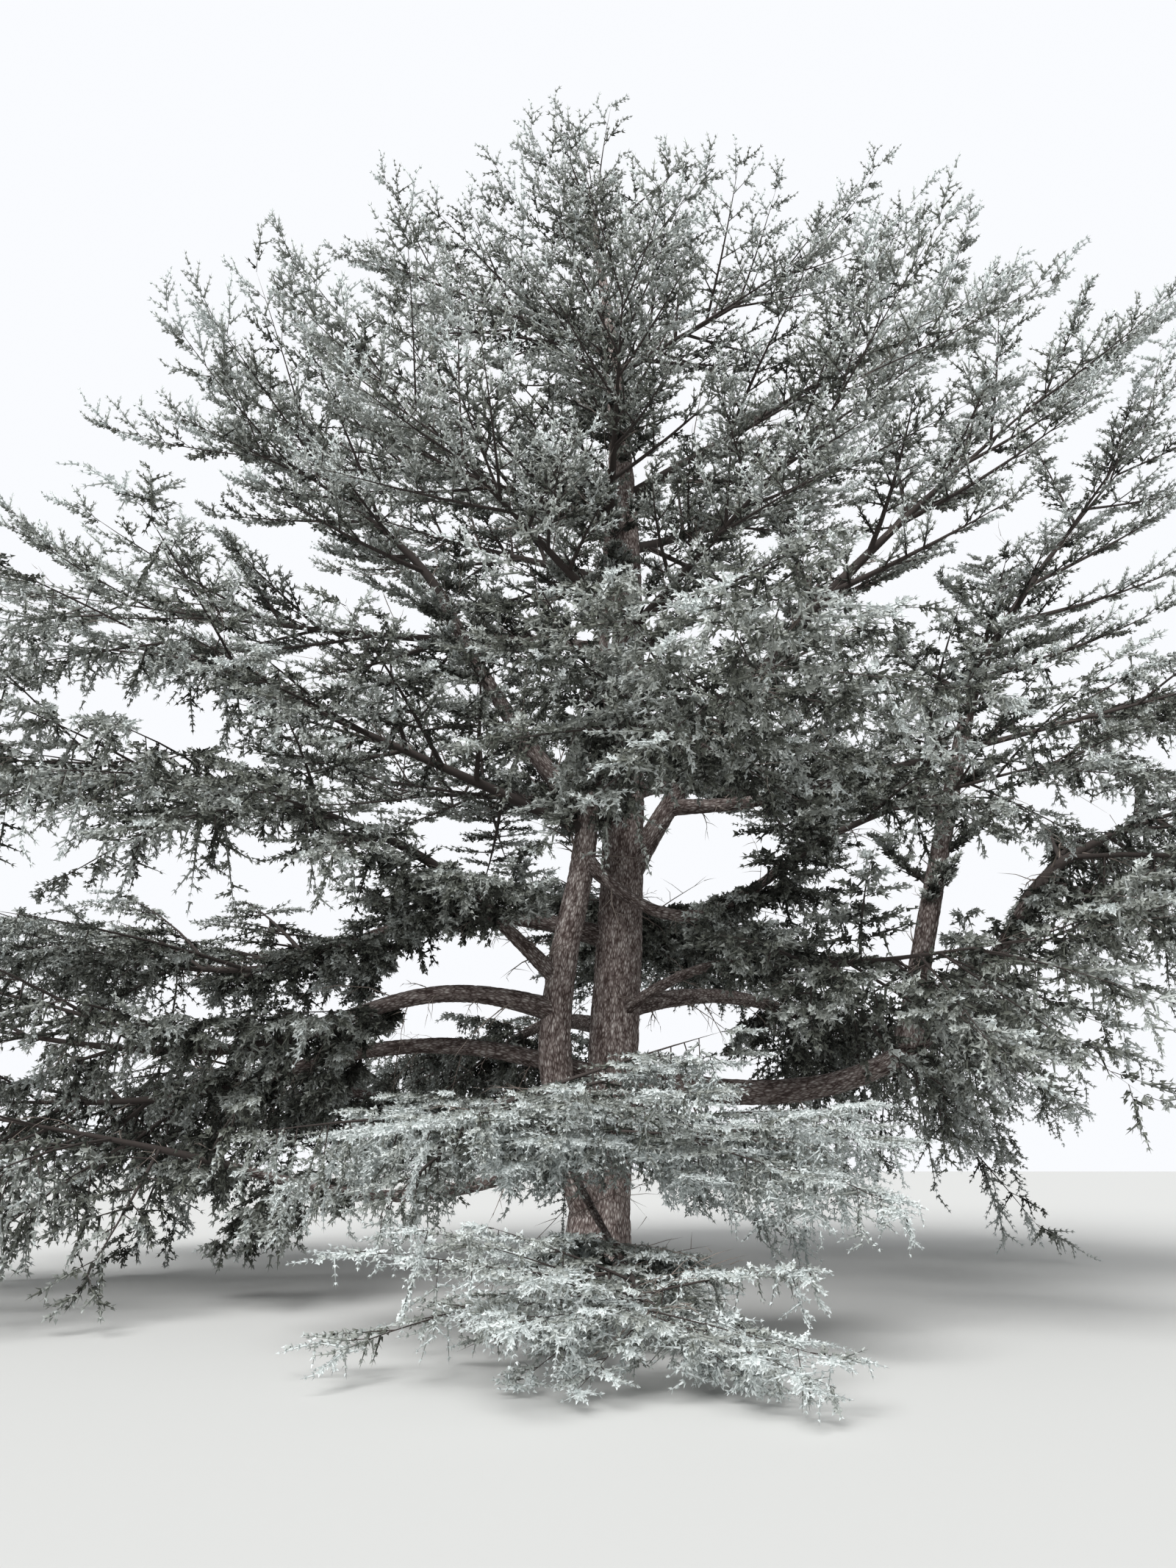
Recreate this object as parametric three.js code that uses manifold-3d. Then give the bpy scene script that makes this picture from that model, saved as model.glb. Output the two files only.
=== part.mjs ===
// An old blue cedar: two stems from one foot, long level boughs that turn up, and flat shelves
// of foliage. The tables are in metres and degrees, and the solids in millimetres, with +Z up.
// The origin is the middle of the flat cut at ground level. The viewer's side is -Y, and an
// azimuth is measured from +X, the viewer's right, towards +Y, away from the viewer.
import * as THREE from 'three';
import { mergeVertices } from 'three/addons/utils/BufferGeometryUtils.js';
import Module from 'manifold-3d';

const wasm = await Module();
wasm.setup();
const { Manifold, Mesh: SolidMesh } = wasm;

const MM = 1000;
const CLEARANCE = 0.3 / MM; // between neighbouring solids
const LEAF_CLEARANCE = 0.008; // between foliage and the limbs it passes
const SPACE_GAP = 0.03; // between the spaces of two masses
const MASS_GAP = 0.012; // between the foliage of two masses
const LOWEST_LEAF = 0.06; // above the ground
const SMALLEST_DETAIL = 0.006; // joins between leaves and twigs finer than this are smoothed away
const GOLDEN_TURN = 137.5; // degrees from one twig to the next round a plume's stem
const RIGHT = new THREE.Vector3(1, 0, 0);
const AWAY = new THREE.Vector3(0, 1, 0);
const NEAR = new THREE.Vector3(0, -1, 0);
const UP = new THREE.Vector3(0, 0, 1);

// The two stems. Each line runs through a few places. The trunk's rings crowd towards its root flare.
const TRUNK_TOP = 17.5;
const TRUNK = {
  places: [[0, 0, 0], [0.05, 0.01, 0.9], [0.26, 0.06, 3], [0.46, 0.12, 7], [0.54, 0.14, 11],
    [0.32, 0.08, 15], [0.05, 0, TRUNK_TOP]],
  shape: { sides: 16, rings: 12, crowding: 1.8, level: true },
  bole: { radius: 0.405, power: 0.65, beyond: 0.5, least: 0.01 },
  flare: { radius: 0.14, height: 0.42, lobes: 5, depth: 0.2, turn: 35 },
};
const FRONT_STEM = {
  places: [[0, -0.02, 0.75], [-0.24, -0.3, 1.5], [-0.55, -0.6, 2.9], [-0.47, -0.66, 4.2], [-0.18, -0.62, 5.7],
    [-0.04, -0.58, 7.2], [0.14, -0.56, 9.6], [0.26, -0.62, 11.6], [0.3, -0.8, 13]],
  shape: { sides: 10, rings: 12 },
  foot: 0.27,
  tip: 0.045,
};

// The boughs. Each leaves its parent at a height on a stem, or at a share of a bough's length. It goes
// out at its azimuth by reach and up by rise, and its radius tapers. A bend above 1 turns its end up,
// and an arch bows it up or down.
const BOUGH_SHAPE = { sides: 7, rings: 5 };
const BOUGHS = [
  // name, parent, place on it, azimuth, reach, rise, bend, arch, first radius, last radius
  ['right_low', 'trunk', 2.75, 348, 5.9, 2.3, 4, -0.3, 0.21, 0.1],
  ['right_leader', 'right_low', 0.7, 12, 1.4, 5.0, 0.9, 0, 0.17, 0.11],
  ['right_rising', 'trunk', 5.4, 347, 2.5, 3.7, 0.85, 0, 0.17, 0.125],
  ['right_mid', 'right_rising', 0.3, 339, 2.6, 0.1, 1, -0.1, 0.11, 0.075],
  ['right_dip', 'front_stem', 5.9, 335, 3.0, -0.5, 0.4, -0.7, 0.1, 0.065],
  ['left_rising', 'front_stem', 6.6, 195, 2.3, 3.1, 1.4, 0, 0.15, 0.085],
  ['left_fork', 'front_stem', 4.0, 207, 1.5, 1.2, 0.95, 0, 0.11, 0.08],
  ['left_long', 'trunk', 4.7, 172, 4.6, -0.1, 1, 0.5, 0.15, 0.08],
  ['left_low', 'front_stem', 3.6, 201, 3.3, -0.4, 1, 0.35, 0.14, 0.09],
  ['left_lower', 'trunk', 2.7, 190, 5.1, -0.1, 1, 0.5, 0.14, 0.08],
  ['left_rear', 'trunk', 2.4, 152, 4.75, 0.3, 1, -0.25, 0.13, 0.07],
  ['left_sweep', 'front_stem', 1.75, 210, 4.6, -0.2, 1, -0.45, 0.1, 0.055],
  ['left_high', 'trunk', 9.3, 180, 2.3, 0.3, 1, 0.1, 0.12, 0.08],
  ['front_low', 'trunk', 2.3, 253, 4.5, -0.15, 1, 0.2, 0.12, 0.06],
  ['front_drop', 'front_low', 0.6, 284, 3.3, -1.65, 0.7, 0, 0.055, 0.035],
  ['front_mid', 'front_stem', 6.9, 291, 1.7, 0.1, 1, 0.2, 0.085, 0.06],
  ['front_right', 'trunk', 3.6, 306, 3.6, 0.3, 1, 0.3, 0.09, 0.05],
  ['back_right', 'trunk', 7.0, 50, 2.8, 0.8, 1, 0.1, 0.13, 0.085],
  ['back', 'trunk', 5.2, 84, 3.0, 0.5, 1, 0.2, 0.13, 0.08],
  ['back_left', 'trunk', 6.9, 126, 2.8, 0.8, 1, 0.1, 0.12, 0.08],
  ['back_low_right', 'trunk', 3.7, 42, 4.6, 0.2, 1, 0.3, 0.15, 0.08],
  ['back_low_left', 'trunk', 3.4, 114, 4.4, 0.2, 1, 0.25, 0.14, 0.07],
];

// The masses. Each stem goes on from the end of its own bough, or out of a stem at a height, for its
// length, and turns to its azimuth and its climb above the level. The width is its foliage's span.
const MASSES = [
  // name, bough or stem, height on a stem, habit, azimuth, climb, length, width
  ['crown_top', 'trunk', TRUNK_TOP, 'plume', 150, 80, 1.2, 3.0],
  ['top_left', 'trunk', 15.0, 'plume', 186, 22, 4.0, 5.2],
  ['top_right', 'trunk', 14.6, 'plume', 358, 33, 4.4, 5.2],
  ['top_back', 'trunk', 14.5, 'plume', 95, 38, 4.2, 5.2],
  ['top_front', 'front_stem', 13, 'plume', 258, 34, 2.6, 5.0],
  ['upper_left', 'trunk', 11.7, 'plume', 188, 13, 5.4, 6.6],
  ['upper_front_left', 'front_stem', 9.8, 'plume', 236, 13, 5.2, 6.2],
  ['upper_front_right', 'trunk', 9.7, 'plume', 301, 14, 5.8, 6.4],
  ['upper_right', 'trunk', 12.2, 'plume', 354, 31, 6.2, 6.2],
  ['upper_back_right', 'trunk', 11.2, 'plume', 48, 31, 7.0, 6.2],
  ['upper_back', 'trunk', 12.0, 'plume', 102, 31, 6.2, 6.0],
  ['upper_back_left', 'trunk', 10.6, 'plume', 148, 27, 7.0, 6.0],
  ['right_low', 'right_low', 0, 'skirt', 350, 7, 4.0, 6.8],
  ['right_leader', 'right_leader', 0, 'plume', 356, 47, 5.8, 6.2],
  ['right_rising', 'right_rising', 0, 'plume', 341, 36, 6.4, 6.4],
  ['right_mid', 'right_mid', 0, 'shelf', 345, 11, 6.2, 7.0],
  ['right_dip', 'right_dip', 0, 'shelf', 340, 6, 4.6, 5.8],
  ['left_rising', 'left_rising', 0, 'plume', 206, 20, 3.8, 6.0],
  ['left_mid', 'front_stem', 6.2, 'shelf', 207, 16, 7.4, 6.8],
  ['left_fork', 'left_fork', 0, 'shelf', 209, -2, 6.4, 7.0],
  ['left_long', 'left_long', 0, 'shelf', 174, 15, 5.2, 7.2],
  ['left_low', 'left_low', 0, 'skirt', 203, 13, 5.6, 7.2],
  ['left_lower', 'left_lower', 0, 'skirt', 186, 4, 4.2, 6.8],
  ['left_rear', 'left_rear', 0, 'skirt', 148, 4, 4.8, 6.4],
  ['left_sweep', 'left_sweep', 0, 'skirt', 212, 8, 3.9, 5.4],
  ['left_high', 'left_high', 0, 'plume', 186, 7, 7.0, 6.6],
  ['front_low', 'front_low', 0, 'fan', 350, -2, 4.6, 5.0],
  ['front_drop', 'front_drop', 0, 'low', 270, 0, 2.2, 4.2],
  ['front_mid', 'front_mid', 0, 'shelf', 284, -3, 4.4, 6.4],
  ['front_right', 'front_right', 0, 'shelf', 322, 4, 3.8, 5.4],
  ['back_right', 'back_right', 0, 'plume', 48, 18, 6.4, 6.6],
  ['back', 'back', 0, 'shelf', 80, 9, 5.8, 7.6],
  ['back_left', 'back_left', 0, 'plume', 132, 18, 6.4, 6.6],
  ['back_low_right', 'back_low_right', 0, 'skirt', 36, 4, 5.0, 7.0],
  ['back_low_left', 'back_low_left', 0, 'skirt', 118, 5, 5.2, 7.0],
  ['upper_front', 'front_stem', 11.3, 'plume', 272, 22, 4.2, 5.4],
];

// How a mass branches. Its side twigs leave the stem at an angle, round it or in two ranks, and roll
// out of its level plane. lift and hang turn ends up and down. sag lowers the mass's own space.
const HABITS = {
  plume: { leave: 56, allRound: true, roll: 30, lift: 0.2, hang: 0, sag: 0 },
  shelf: { leave: 62, allRound: false, roll: 50, lift: 0.04, hang: 0.25, sag: 0.1 },
  skirt: { leave: 62, allRound: false, roll: 50, lift: -0.05, hang: 0.55, sag: 0.25 },
  fan: { leave: 64, allRound: false, roll: 32, lift: 0.04, hang: 0.2, sag: 0.1 },
  low: { leave: 66, allRound: false, roll: 45, lift: 0.05, hang: 0.2, sag: 0.1 },
};
const STEM = {
  root: 0.05,
  thicker: 8,
  ofTip: 0.95,
  point: 0.008,
  elbow: 0.3,
  shape: { sides: 4, rings: 3, turn: 45 },
};
const STATIONS = [0.1, 0.3, 0.5, 0.7, 0.85, 1]; // shares of a stem that its mass's space is measured from
const FIRST_ON_STEM = 0.2; // a mass right on a trunk leaves this share of its stem bare
const SHORTER = [1, 0.78, 0.58]; // a twig or spray that doesn't fit is tried again at these shares

// The outlines of the sprays, from tip to root and back, in shares of their length.
const FAN = [[1, 0], [0.62, 0.11], [0.74, 0.36], [0, 0], [0.74, -0.36], [0.62, -0.11]];
const FROND = [[1, 0], [0.8, 0.08], [0.86, 0.27], [0.6, 0.13], [0.58, 0.42], [0, 0],
  [0.58, -0.42], [0.6, -0.13], [0.86, -0.27], [0.8, -0.08]];
const SPRAY = { crest: 0.48, thick: 0.02, splay: 50, droop: [0.3, 1] };

// The sprays at a stem's end, and on each twig: where they start, to which side they turn, and their
// length as a share of half the mass's width, or of the twig's length.
const END_SPRAYS = [
  { outline: FROND, place: 0.9, hand: 0, size: 0.75 },
  { outline: FAN, place: 0.75, hand: 1, size: 0.68 },
  { outline: FAN, place: 0.82, hand: -1, size: 0.68 },
];
const TWIG_SPRAYS = [
  { outline: FROND, place: 0.55, hand: 0, size: 1.4 },
  { outline: FAN, place: 0.3, hand: 1, size: 1.15 },
];
const TWIG = {
  count: 5,
  first: 0.1,
  last: 0.72,
  size: 0.6,
  shrink: 0.25,
  vary: [0.85, 1.15],
  girth: 0.6,
  spread: 6,
  flat: 0.6,
  droop: [0.2, 0.6],
  shape: { sides: 3, pointed: true },
};
const SEED = { mass: 100, twig: 13, length: 2, droop: 5, ends: 80, sprays: 3, spray: 4 };
const BARK = { color: 0x4a3a33, roughness: 0.95, metalness: 0 };
const NEEDLES = { color: 0x8fa3a3, roughness: 0.8, metalness: 0 };

const radians = THREE.MathUtils.degToRad;
const lerp = THREE.MathUtils.lerp;

// The same number from 0 to 1 for the same seed, every time.
function chance(seed) {
  const value = Math.sin(seed * 12.9898 + 4.1414) * 43758.5453;
  return value - Math.floor(value);
}

function between(low, high, seed) {
  return lerp(low, high, chance(seed));
}

function heading(azimuth, climb = 0) {
  const level = Math.cos(radians(climb));
  return new THREE.Vector3(
    level * Math.cos(radians(azimuth)),
    level * Math.sin(radians(azimuth)),
    Math.sin(radians(climb)),
  );
}

// A bough's line: out at one azimuth, with its rise, arch and bend.
class BoughLine extends THREE.Curve {
  constructor(start, { azimuth, reach, rise, bend, arch }) {
    super();
    Object.assign(this, { start, out: heading(azimuth), reach, rise, bend, arch });
  }

  getPoint(t, target = new THREE.Vector3()) {
    const share = Math.max(t, 0);
    const lift = this.rise * share ** this.bend + this.arch * Math.sin(Math.PI * share);
    return target.copy(this.start).addScaledVector(this.out, this.reach * share).addScaledVector(UP, lift);
  }
}

// The line of a stem through its places, read by height rather than by length.
class StemLine extends THREE.Curve {
  constructor(places) {
    super();
    this.line = new THREE.CatmullRomCurve3(places.map((p) => new THREE.Vector3(...p)));
    this.low = places[0][2];
    this.high = places.at(-1)[2];
  }

  getPoint(t, target = new THREE.Vector3()) {
    const height = lerp(this.low, this.high, t);
    let below = 0;
    let above = 1;
    for (let i = 0; i < 30; i++) {
      const middle = (below + above) / 2;
      if (this.line.getPoint(middle, target).z < height) below = middle;
      else above = middle;
    }
    return target.setZ(height);
  }

  share(height) {
    return (height - this.low) / (this.high - this.low);
  }
}

// Two directions across a line, which stay steady along it.
function acrossOf(line) {
  const chord = line.getPoint(1).sub(line.getPoint(0)).normalize();
  const steady = Math.abs(chord.z) > 0.93 ? AWAY : UP;
  return (tangent) => {
    const side = new THREE.Vector3().crossVectors(tangent, steady).normalize();
    return [side, new THREE.Vector3().crossVectors(side, tangent)];
  };
}

// A closed tube: a unit cylinder, or a cone where it ends in a point, whose rings are laid along a
// line, each to its own radius.
function tube(line, radiusAt, { sides, rings = 1, crowding = 1, turn = 0, level = false, pointed = false }) {
  const shape = new THREE.CylinderGeometry(pointed ? 0 : 1, 1, 1, sides, rings, false, radians(turn));
  const spots = shape.getAttribute('position');
  const across = acrossOf(line);
  const spot = new THREE.Vector3();
  for (let i = 0; i < spots.count; i++) {
    spot.fromBufferAttribute(spots, i);
    const t = (spot.y + 0.5) ** crowding;
    const centre = line.getPoint(t);
    const [side, over] = level ? [RIGHT, NEAR] : across(line.getTangent(Math.min(t, 0.999)));
    const span = Math.hypot(spot.x, spot.z);
    const radius = span < 1e-6 ? 0 : radiusAt(t, Math.atan2(spot.z, spot.x)) / span;
    centre.addScaledVector(side, spot.x * radius).addScaledVector(over, spot.z * radius);
    spots.setXYZ(i, centre.x * MM, centre.y * MM, centre.z * MM);
  }
  return solidOf(shape);
}

function solidOf(geometry) {
  const bare = geometry.clone();
  bare.deleteAttribute('normal');
  bare.deleteAttribute('uv');
  const merged = mergeVertices(bare, 1e-3);
  return new Manifold(new SolidMesh({
    numProp: 3,
    vertProperties: new Float32Array(merged.getAttribute('position').array),
    triVerts: new Uint32Array(merged.index.array),
  }));
}

function largest(solid) {
  return solid.decompose().sort((a, b) => b.volume() - a.volume())[0];
}

// The trunk tapers to its tip, and swells at the foot into a lobed root flare.
function trunkRadius(t, turn) {
  const { bole, flare } = TRUNK;
  const height = t * TRUNK_TOP;
  const radius = bole.radius * (1 - height / (TRUNK_TOP + bole.beyond)) ** bole.power + bole.least;
  const foot = Math.exp(-height / flare.height);
  const lobe = 1 + flare.depth * foot * Math.cos(flare.lobes * turn + radians(flare.turn));
  return (radius + flare.radius * foot) * lobe;
}

function taper(from, to) {
  return (t) => lerp(from, to, t);
}

// Every limb keeps its line, its radius and how to make its solid, a little thicker if asked.
const limbs = new Map();

function addLimb(name, line, radiusAt, shape) {
  const make = (extra = 0) => tube(line, (t, turn) => radiusAt(t, turn) + extra, shape);
  limbs.set(name, { line, radiusAt, make, tipWay: shape.level ? UP : line.getTangent(0.999) });
}

function placeOn(parent, at) {
  const { line } = limbs.get(parent);
  return line.getPoint(line.share ? line.share(at) : at);
}

addLimb('trunk', new StemLine(TRUNK.places), trunkRadius, TRUNK.shape);
const frontRadius = taper(FRONT_STEM.foot, FRONT_STEM.tip);
addLimb('front_stem', new StemLine(FRONT_STEM.places), frontRadius, FRONT_STEM.shape);
for (const [name, parent, at, azimuth, reach, rise, bend, arch, first, last] of BOUGHS) {
  const line = new BoughLine(placeOn(parent, at), { azimuth, reach, rise, bend, arch });
  addLimb(name, line, taper(first, last), BOUGH_SHAPE);
}

// The solids of the wood: the trunk whole, and each other limb cut clear of the one that bears it.
const solids = new Map([['trunk', limbs.get('trunk').make()]]);

function addCutLimb(nodeName, name, bearer) {
  solids.set(nodeName, largest(limbs.get(name).make().subtract(limbs.get(bearer).make(CLEARANCE))));
}

addCutLimb('front_stem', 'front_stem', 'trunk');
for (const [name, parent] of BOUGHS) addCutLimb('bough_' + name, name, parent);

// A mass's stem: on from its bough's end, or out of a stem's side, turning to its own heading.
function massStem([name, on, at, habitName, azimuth, climb, length, width]) {
  const habit = HABITS[habitName];
  const bearer = limbs.get(on);
  const aim = heading(azimuth, climb);
  const atTip = at === 0 || at === TRUNK_TOP || at === bearer.line.high;
  const away = atTip ? bearer.tipWay : aim;
  const girth = atTip ? bearer.radiusAt(1, 0) * STEM.ofTip : STEM.root * (1 + length / STEM.thicker);
  const start = atTip ? bearer.line.getPoint(1).addScaledVector(away, CLEARANCE) : placeOn(on, at);
  const elbow = start.clone().addScaledVector(away, length * STEM.elbow);
  const end = elbow.clone().addScaledVector(aim, length * (1 - STEM.elbow));
  const line = new THREE.QuadraticBezierCurve3(start, elbow, end);
  const make = (extra) => tube(line, (t) => lerp(girth, STEM.point, t) + extra, STEM.shape);
  const stations = STATIONS.filter((t) => atTip || t > FIRST_ON_STEM)
    .map((t) => line.getPoint(t).addScaledVector(UP, -habit.sag));
  const solidsOfStem = { stem: make(0), guard: make(LEAF_CLEARANCE) };
  return { name, habit, bearer, line, girth, reach: width / 2, stations, ...solidsOfStem };
}

const masses = MASSES.map(massStem);

// What foliage has to keep clear of: every limb, and the stem of every other mass.
const guards = [
  ...[...limbs.values()].map((limb) => ({ mass: null, solid: limb.make(LEAF_CLEARANCE) })),
  ...masses.map((mass) => ({ mass, solid: mass.guard })),
].map((guard) => ({ ...guard, box: guard.solid.boundingBox() }));

const grownMasses = [];

function boxesMeet(a, b) {
  return [0, 1, 2].every((i) => a.min[i] <= b.max[i] && b.min[i] <= a.max[i]);
}

function isClear(piece, mass) {
  const box = piece.boundingBox();
  const meets = (other) => boxesMeet(box, other.box);
  const hits = (guard) => guard.mass !== mass && meets(guard) && !piece.intersect(guard.solid).isEmpty();
  const crowds = (other) => meets(other) && piece.minGap(other.solid, MASS_GAP * MM) < MASS_GAP * MM;
  return !guards.some(hits) && !grownMasses.some(crowds);
}

// A mass's own space is every place nearer to the stations of its stem than to those of another
// mass, above the ground.
function isOwnSpace(piece, mass) {
  const { vertProperties: at } = piece.getMesh();
  const spot = new THREE.Vector3();
  const nearest = (stations) => Math.min(...stations.map((station) => station.distanceTo(spot)));
  for (let i = 0; i < at.length; i += 3) {
    spot.set(at[i] / MM, at[i + 1] / MM, at[i + 2] / MM);
    if (spot.z < LOWEST_LEAF) return false;
    const own = nearest(mass.stations) + SPACE_GAP;
    if (masses.some((other) => other !== mass && nearest(other.stations) < own)) return false;
  }
  return true;
}

// A spray of needles stands for a fan of twigs: a thin toothed blade. It starts as a sphere with two
// rows, whose equator is drawn out to the teeth and the notches of the outline.
function spray(outline, root, direction, side, length) {
  const over = new THREE.Vector3().crossVectors(side, direction);
  const shape = new THREE.SphereGeometry(1, outline.length, 2);
  const spots = shape.getAttribute('position');
  const step = (2 * Math.PI) / outline.length;
  const spot = new THREE.Vector3();
  for (let i = 0; i < spots.count; i++) {
    spot.fromBufferAttribute(spots, i);
    const place = root.clone();
    if (Math.abs(spot.y) > 0.5) {
      place.addScaledVector(direction, length * SPRAY.crest);
      place.addScaledVector(over, Math.sign(spot.y) * SPRAY.thick * length);
    } else {
      const corner = Math.round(Math.atan2(spot.z, spot.x) / step);
      const [along, aside] = outline.at(corner);
      place.addScaledVector(direction, along * length).addScaledVector(side, aside * length);
    }
    spots.setXYZ(i, place.x * MM, place.y * MM, place.z * MM);
  }
  return solidOf(shape);
}

function touches(solid, others) {
  const box = solid.boundingBox();
  return others.some((other) => boxesMeet(box, other.boundingBox()) && !solid.intersect(other).isEmpty());
}

// The first of ever shorter tries that stays in the mass's space, and touches no limb and no
// earlier piece of the same kind.
function fitting(mass, earlier, make) {
  for (const share of SHORTER) {
    const piece = make(share);
    const { solid } = piece;
    if (isOwnSpace(solid, mass) && isClear(solid, mass) && !touches(solid, earlier)) return piece;
  }
  return null;
}

// A level direction to the right of a line that goes this way.
function rightOf(direction) {
  const side = new THREE.Vector3().crossVectors(direction, UP);
  if (side.length() < 0.15) side.set(1, 0, 0);
  return side.normalize();
}

// The direction of a side twig that leaves a stem, by its habit and its number.
function twigDirection(tangent, habit, number, seed) {
  const side = rightOf(tangent);
  const over = new THREE.Vector3().crossVectors(side, tangent);
  const turn = habit.allRound ? number * GOLDEN_TURN : (number % 2) * 180;
  const roll = radians(turn + habit.roll * between(-1, 1, seed));
  const leave = radians(habit.leave + TWIG.spread * between(-1, 1, seed + 1));
  const direction = tangent.clone().multiplyScalar(Math.cos(leave));
  direction.addScaledVector(side, Math.sin(leave) * Math.cos(roll));
  direction.addScaledVector(over, Math.sin(leave) * Math.sin(roll));
  direction.z = direction.z * TWIG.flat + habit.lift - habit.hang * between(...TWIG.droop, seed + SEED.droop);
  return direction.normalize();
}

// One mass: its stem, its twigs, and a few sprays on each, all fused.
function foliage(mass, massNumber) {
  const { habit, line: stemLine, reach } = mass;
  const twigs = [];
  const sprays = [];

  const addSpray = ({ outline, place, hand, size }, line, direction, length, seed) => {
    const turned = direction.clone();
    if (hand) {
      turned.applyAxisAngle(UP, -hand * radians(SPRAY.splay));
      turned.z += habit.lift - habit.hang * between(...SPRAY.droop, seed);
      turned.normalize();
    }
    const roll = radians(habit.roll * between(-1, 1, seed + 1));
    const side = rightOf(turned).applyAxisAngle(turned, roll);
    const root = line.getPoint(place);
    const grown = fitting(mass, sprays, (share) => (
      { solid: spray(outline, root, turned, side, length * size * share) }));
    if (grown) sprays.push(grown.solid);
  };

  const addTwig = (number, seed) => {
    const t = lerp(habit.allRound ? FIRST_ON_STEM : TWIG.first, TWIG.last, number / (TWIG.count - 1));
    const start = stemLine.getPoint(t);
    const direction = twigDirection(stemLine.getTangent(t), habit, number, seed);
    const length = reach * TWIG.size * (1 - TWIG.shrink * t) * between(...TWIG.vary, seed + SEED.length);
    const girth = lerp(mass.girth, STEM.point, t) * TWIG.girth;
    const twig = fitting(mass, twigs, (share) => {
      const line = new THREE.LineCurve3(start, start.clone().addScaledVector(direction, length * share));
      return { line, solid: tube(line, taper(girth, 0), TWIG.shape) };
    });
    if (!twig) return;
    twigs.push(twig.solid);
    const side = seed % 2 ? 1 : -1;
    TWIG_SPRAYS.forEach((kind, i) => {
      const spraySeed = seed + SEED.sprays + SEED.spray * i;
      addSpray({ ...kind, hand: kind.hand * side }, twig.line, direction, length, spraySeed);
    });
  };

  const seed = massNumber * SEED.mass;
  const endWay = stemLine.getTangent(0.999);
  END_SPRAYS.forEach((kind, i) => {
    addSpray(kind, stemLine, endWay, reach, seed + SEED.ends + SEED.spray * i);
  });
  for (let number = TWIG.count - 1; number >= 0; number--) addTwig(number, seed + number * SEED.twig);
  const grown = Manifold.union([mass.stem, ...twigs, ...sprays]).simplify(SMALLEST_DETAIL * MM);
  return largest(grown.subtract(mass.bearer.make(CLEARANCE)));
}

masses.forEach((mass, i) => {
  const solid = foliage(mass, i + 1);
  grownMasses.push({ solid, box: solid.boundingBox() });
  solids.set('foliage_' + mass.name, solid);
});

function geometryOf(solid) {
  const mesh = solid.getMesh();
  const geometry = new THREE.BufferGeometry();
  geometry.setAttribute('position', new THREE.BufferAttribute(mesh.vertProperties, 3));
  geometry.setIndex(new THREE.BufferAttribute(mesh.triVerts, 1));
  geometry.computeVertexNormals();
  return geometry;
}

const bark = new THREE.MeshStandardMaterial(BARK);
const needles = new THREE.MeshStandardMaterial(NEEDLES);
const tree = new THREE.Group();
for (const [name, solid] of solids) {
  const mesh = new THREE.Mesh(geometryOf(solid), name.startsWith('foliage_') ? needles : bark);
  mesh.name = name;
  tree.add(mesh);
}

export default tree;
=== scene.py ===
# %% [markdown]
# # A blue cedar with two stems
# The real tree is about twenty metres tall and as wide. Two stems rise from one flared foot, and long
# level boughs carry flat shelves of silver-blue needles, which weep to the ground at the rim.
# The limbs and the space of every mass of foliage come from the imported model. This notebook grows
# bark on the limbs, and fills each mass's space with branches, twigs and shoots by the model's own rule.

# %% Load the frame
import math
from typing import NamedTuple

import bmesh
import bpy
import numpy as np
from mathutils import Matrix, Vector, noise


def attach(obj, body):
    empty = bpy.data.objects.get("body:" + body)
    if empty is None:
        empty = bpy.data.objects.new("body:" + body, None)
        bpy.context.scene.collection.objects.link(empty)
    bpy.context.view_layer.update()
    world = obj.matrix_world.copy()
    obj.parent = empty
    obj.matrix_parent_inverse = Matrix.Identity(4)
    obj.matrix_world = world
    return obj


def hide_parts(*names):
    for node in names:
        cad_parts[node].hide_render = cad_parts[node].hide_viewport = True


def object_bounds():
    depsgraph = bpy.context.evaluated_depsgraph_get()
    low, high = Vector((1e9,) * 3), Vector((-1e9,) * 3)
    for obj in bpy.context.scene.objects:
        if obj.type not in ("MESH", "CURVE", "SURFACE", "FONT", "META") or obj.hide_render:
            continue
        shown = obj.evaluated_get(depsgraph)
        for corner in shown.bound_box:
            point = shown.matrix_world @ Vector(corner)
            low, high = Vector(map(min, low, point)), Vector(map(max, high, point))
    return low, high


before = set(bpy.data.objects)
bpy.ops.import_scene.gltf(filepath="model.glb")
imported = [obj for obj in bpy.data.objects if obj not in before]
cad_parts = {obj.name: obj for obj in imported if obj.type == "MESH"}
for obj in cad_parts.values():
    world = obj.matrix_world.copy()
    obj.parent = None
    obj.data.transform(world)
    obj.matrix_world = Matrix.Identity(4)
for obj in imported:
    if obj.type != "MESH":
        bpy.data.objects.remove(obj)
cad_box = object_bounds()
print("the model's box:", [[round(c, 2) for c in corner] for corner in cad_box])

# %% [markdown]
# ## The viewpoint
# The camera stands seventeen metres from the foot, at eye height, and is tipped up to take in the crown.
# Its lens is worked out from the photograph's height in pixels, since the sensor's long side is upright.
# It is made first, so that every piece can be looked at as it is added.

# %% Camera
PHOTO_HEIGHT = 2133
FOCAL_LENGTH_IN_PIXELS = 1601
SENSOR_LONG_SIDE = 36
EYE = (-0.1, -17.2, 1.6)
TIPPED_UP = 17.8
FARTHEST_SEEN = 500

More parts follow.
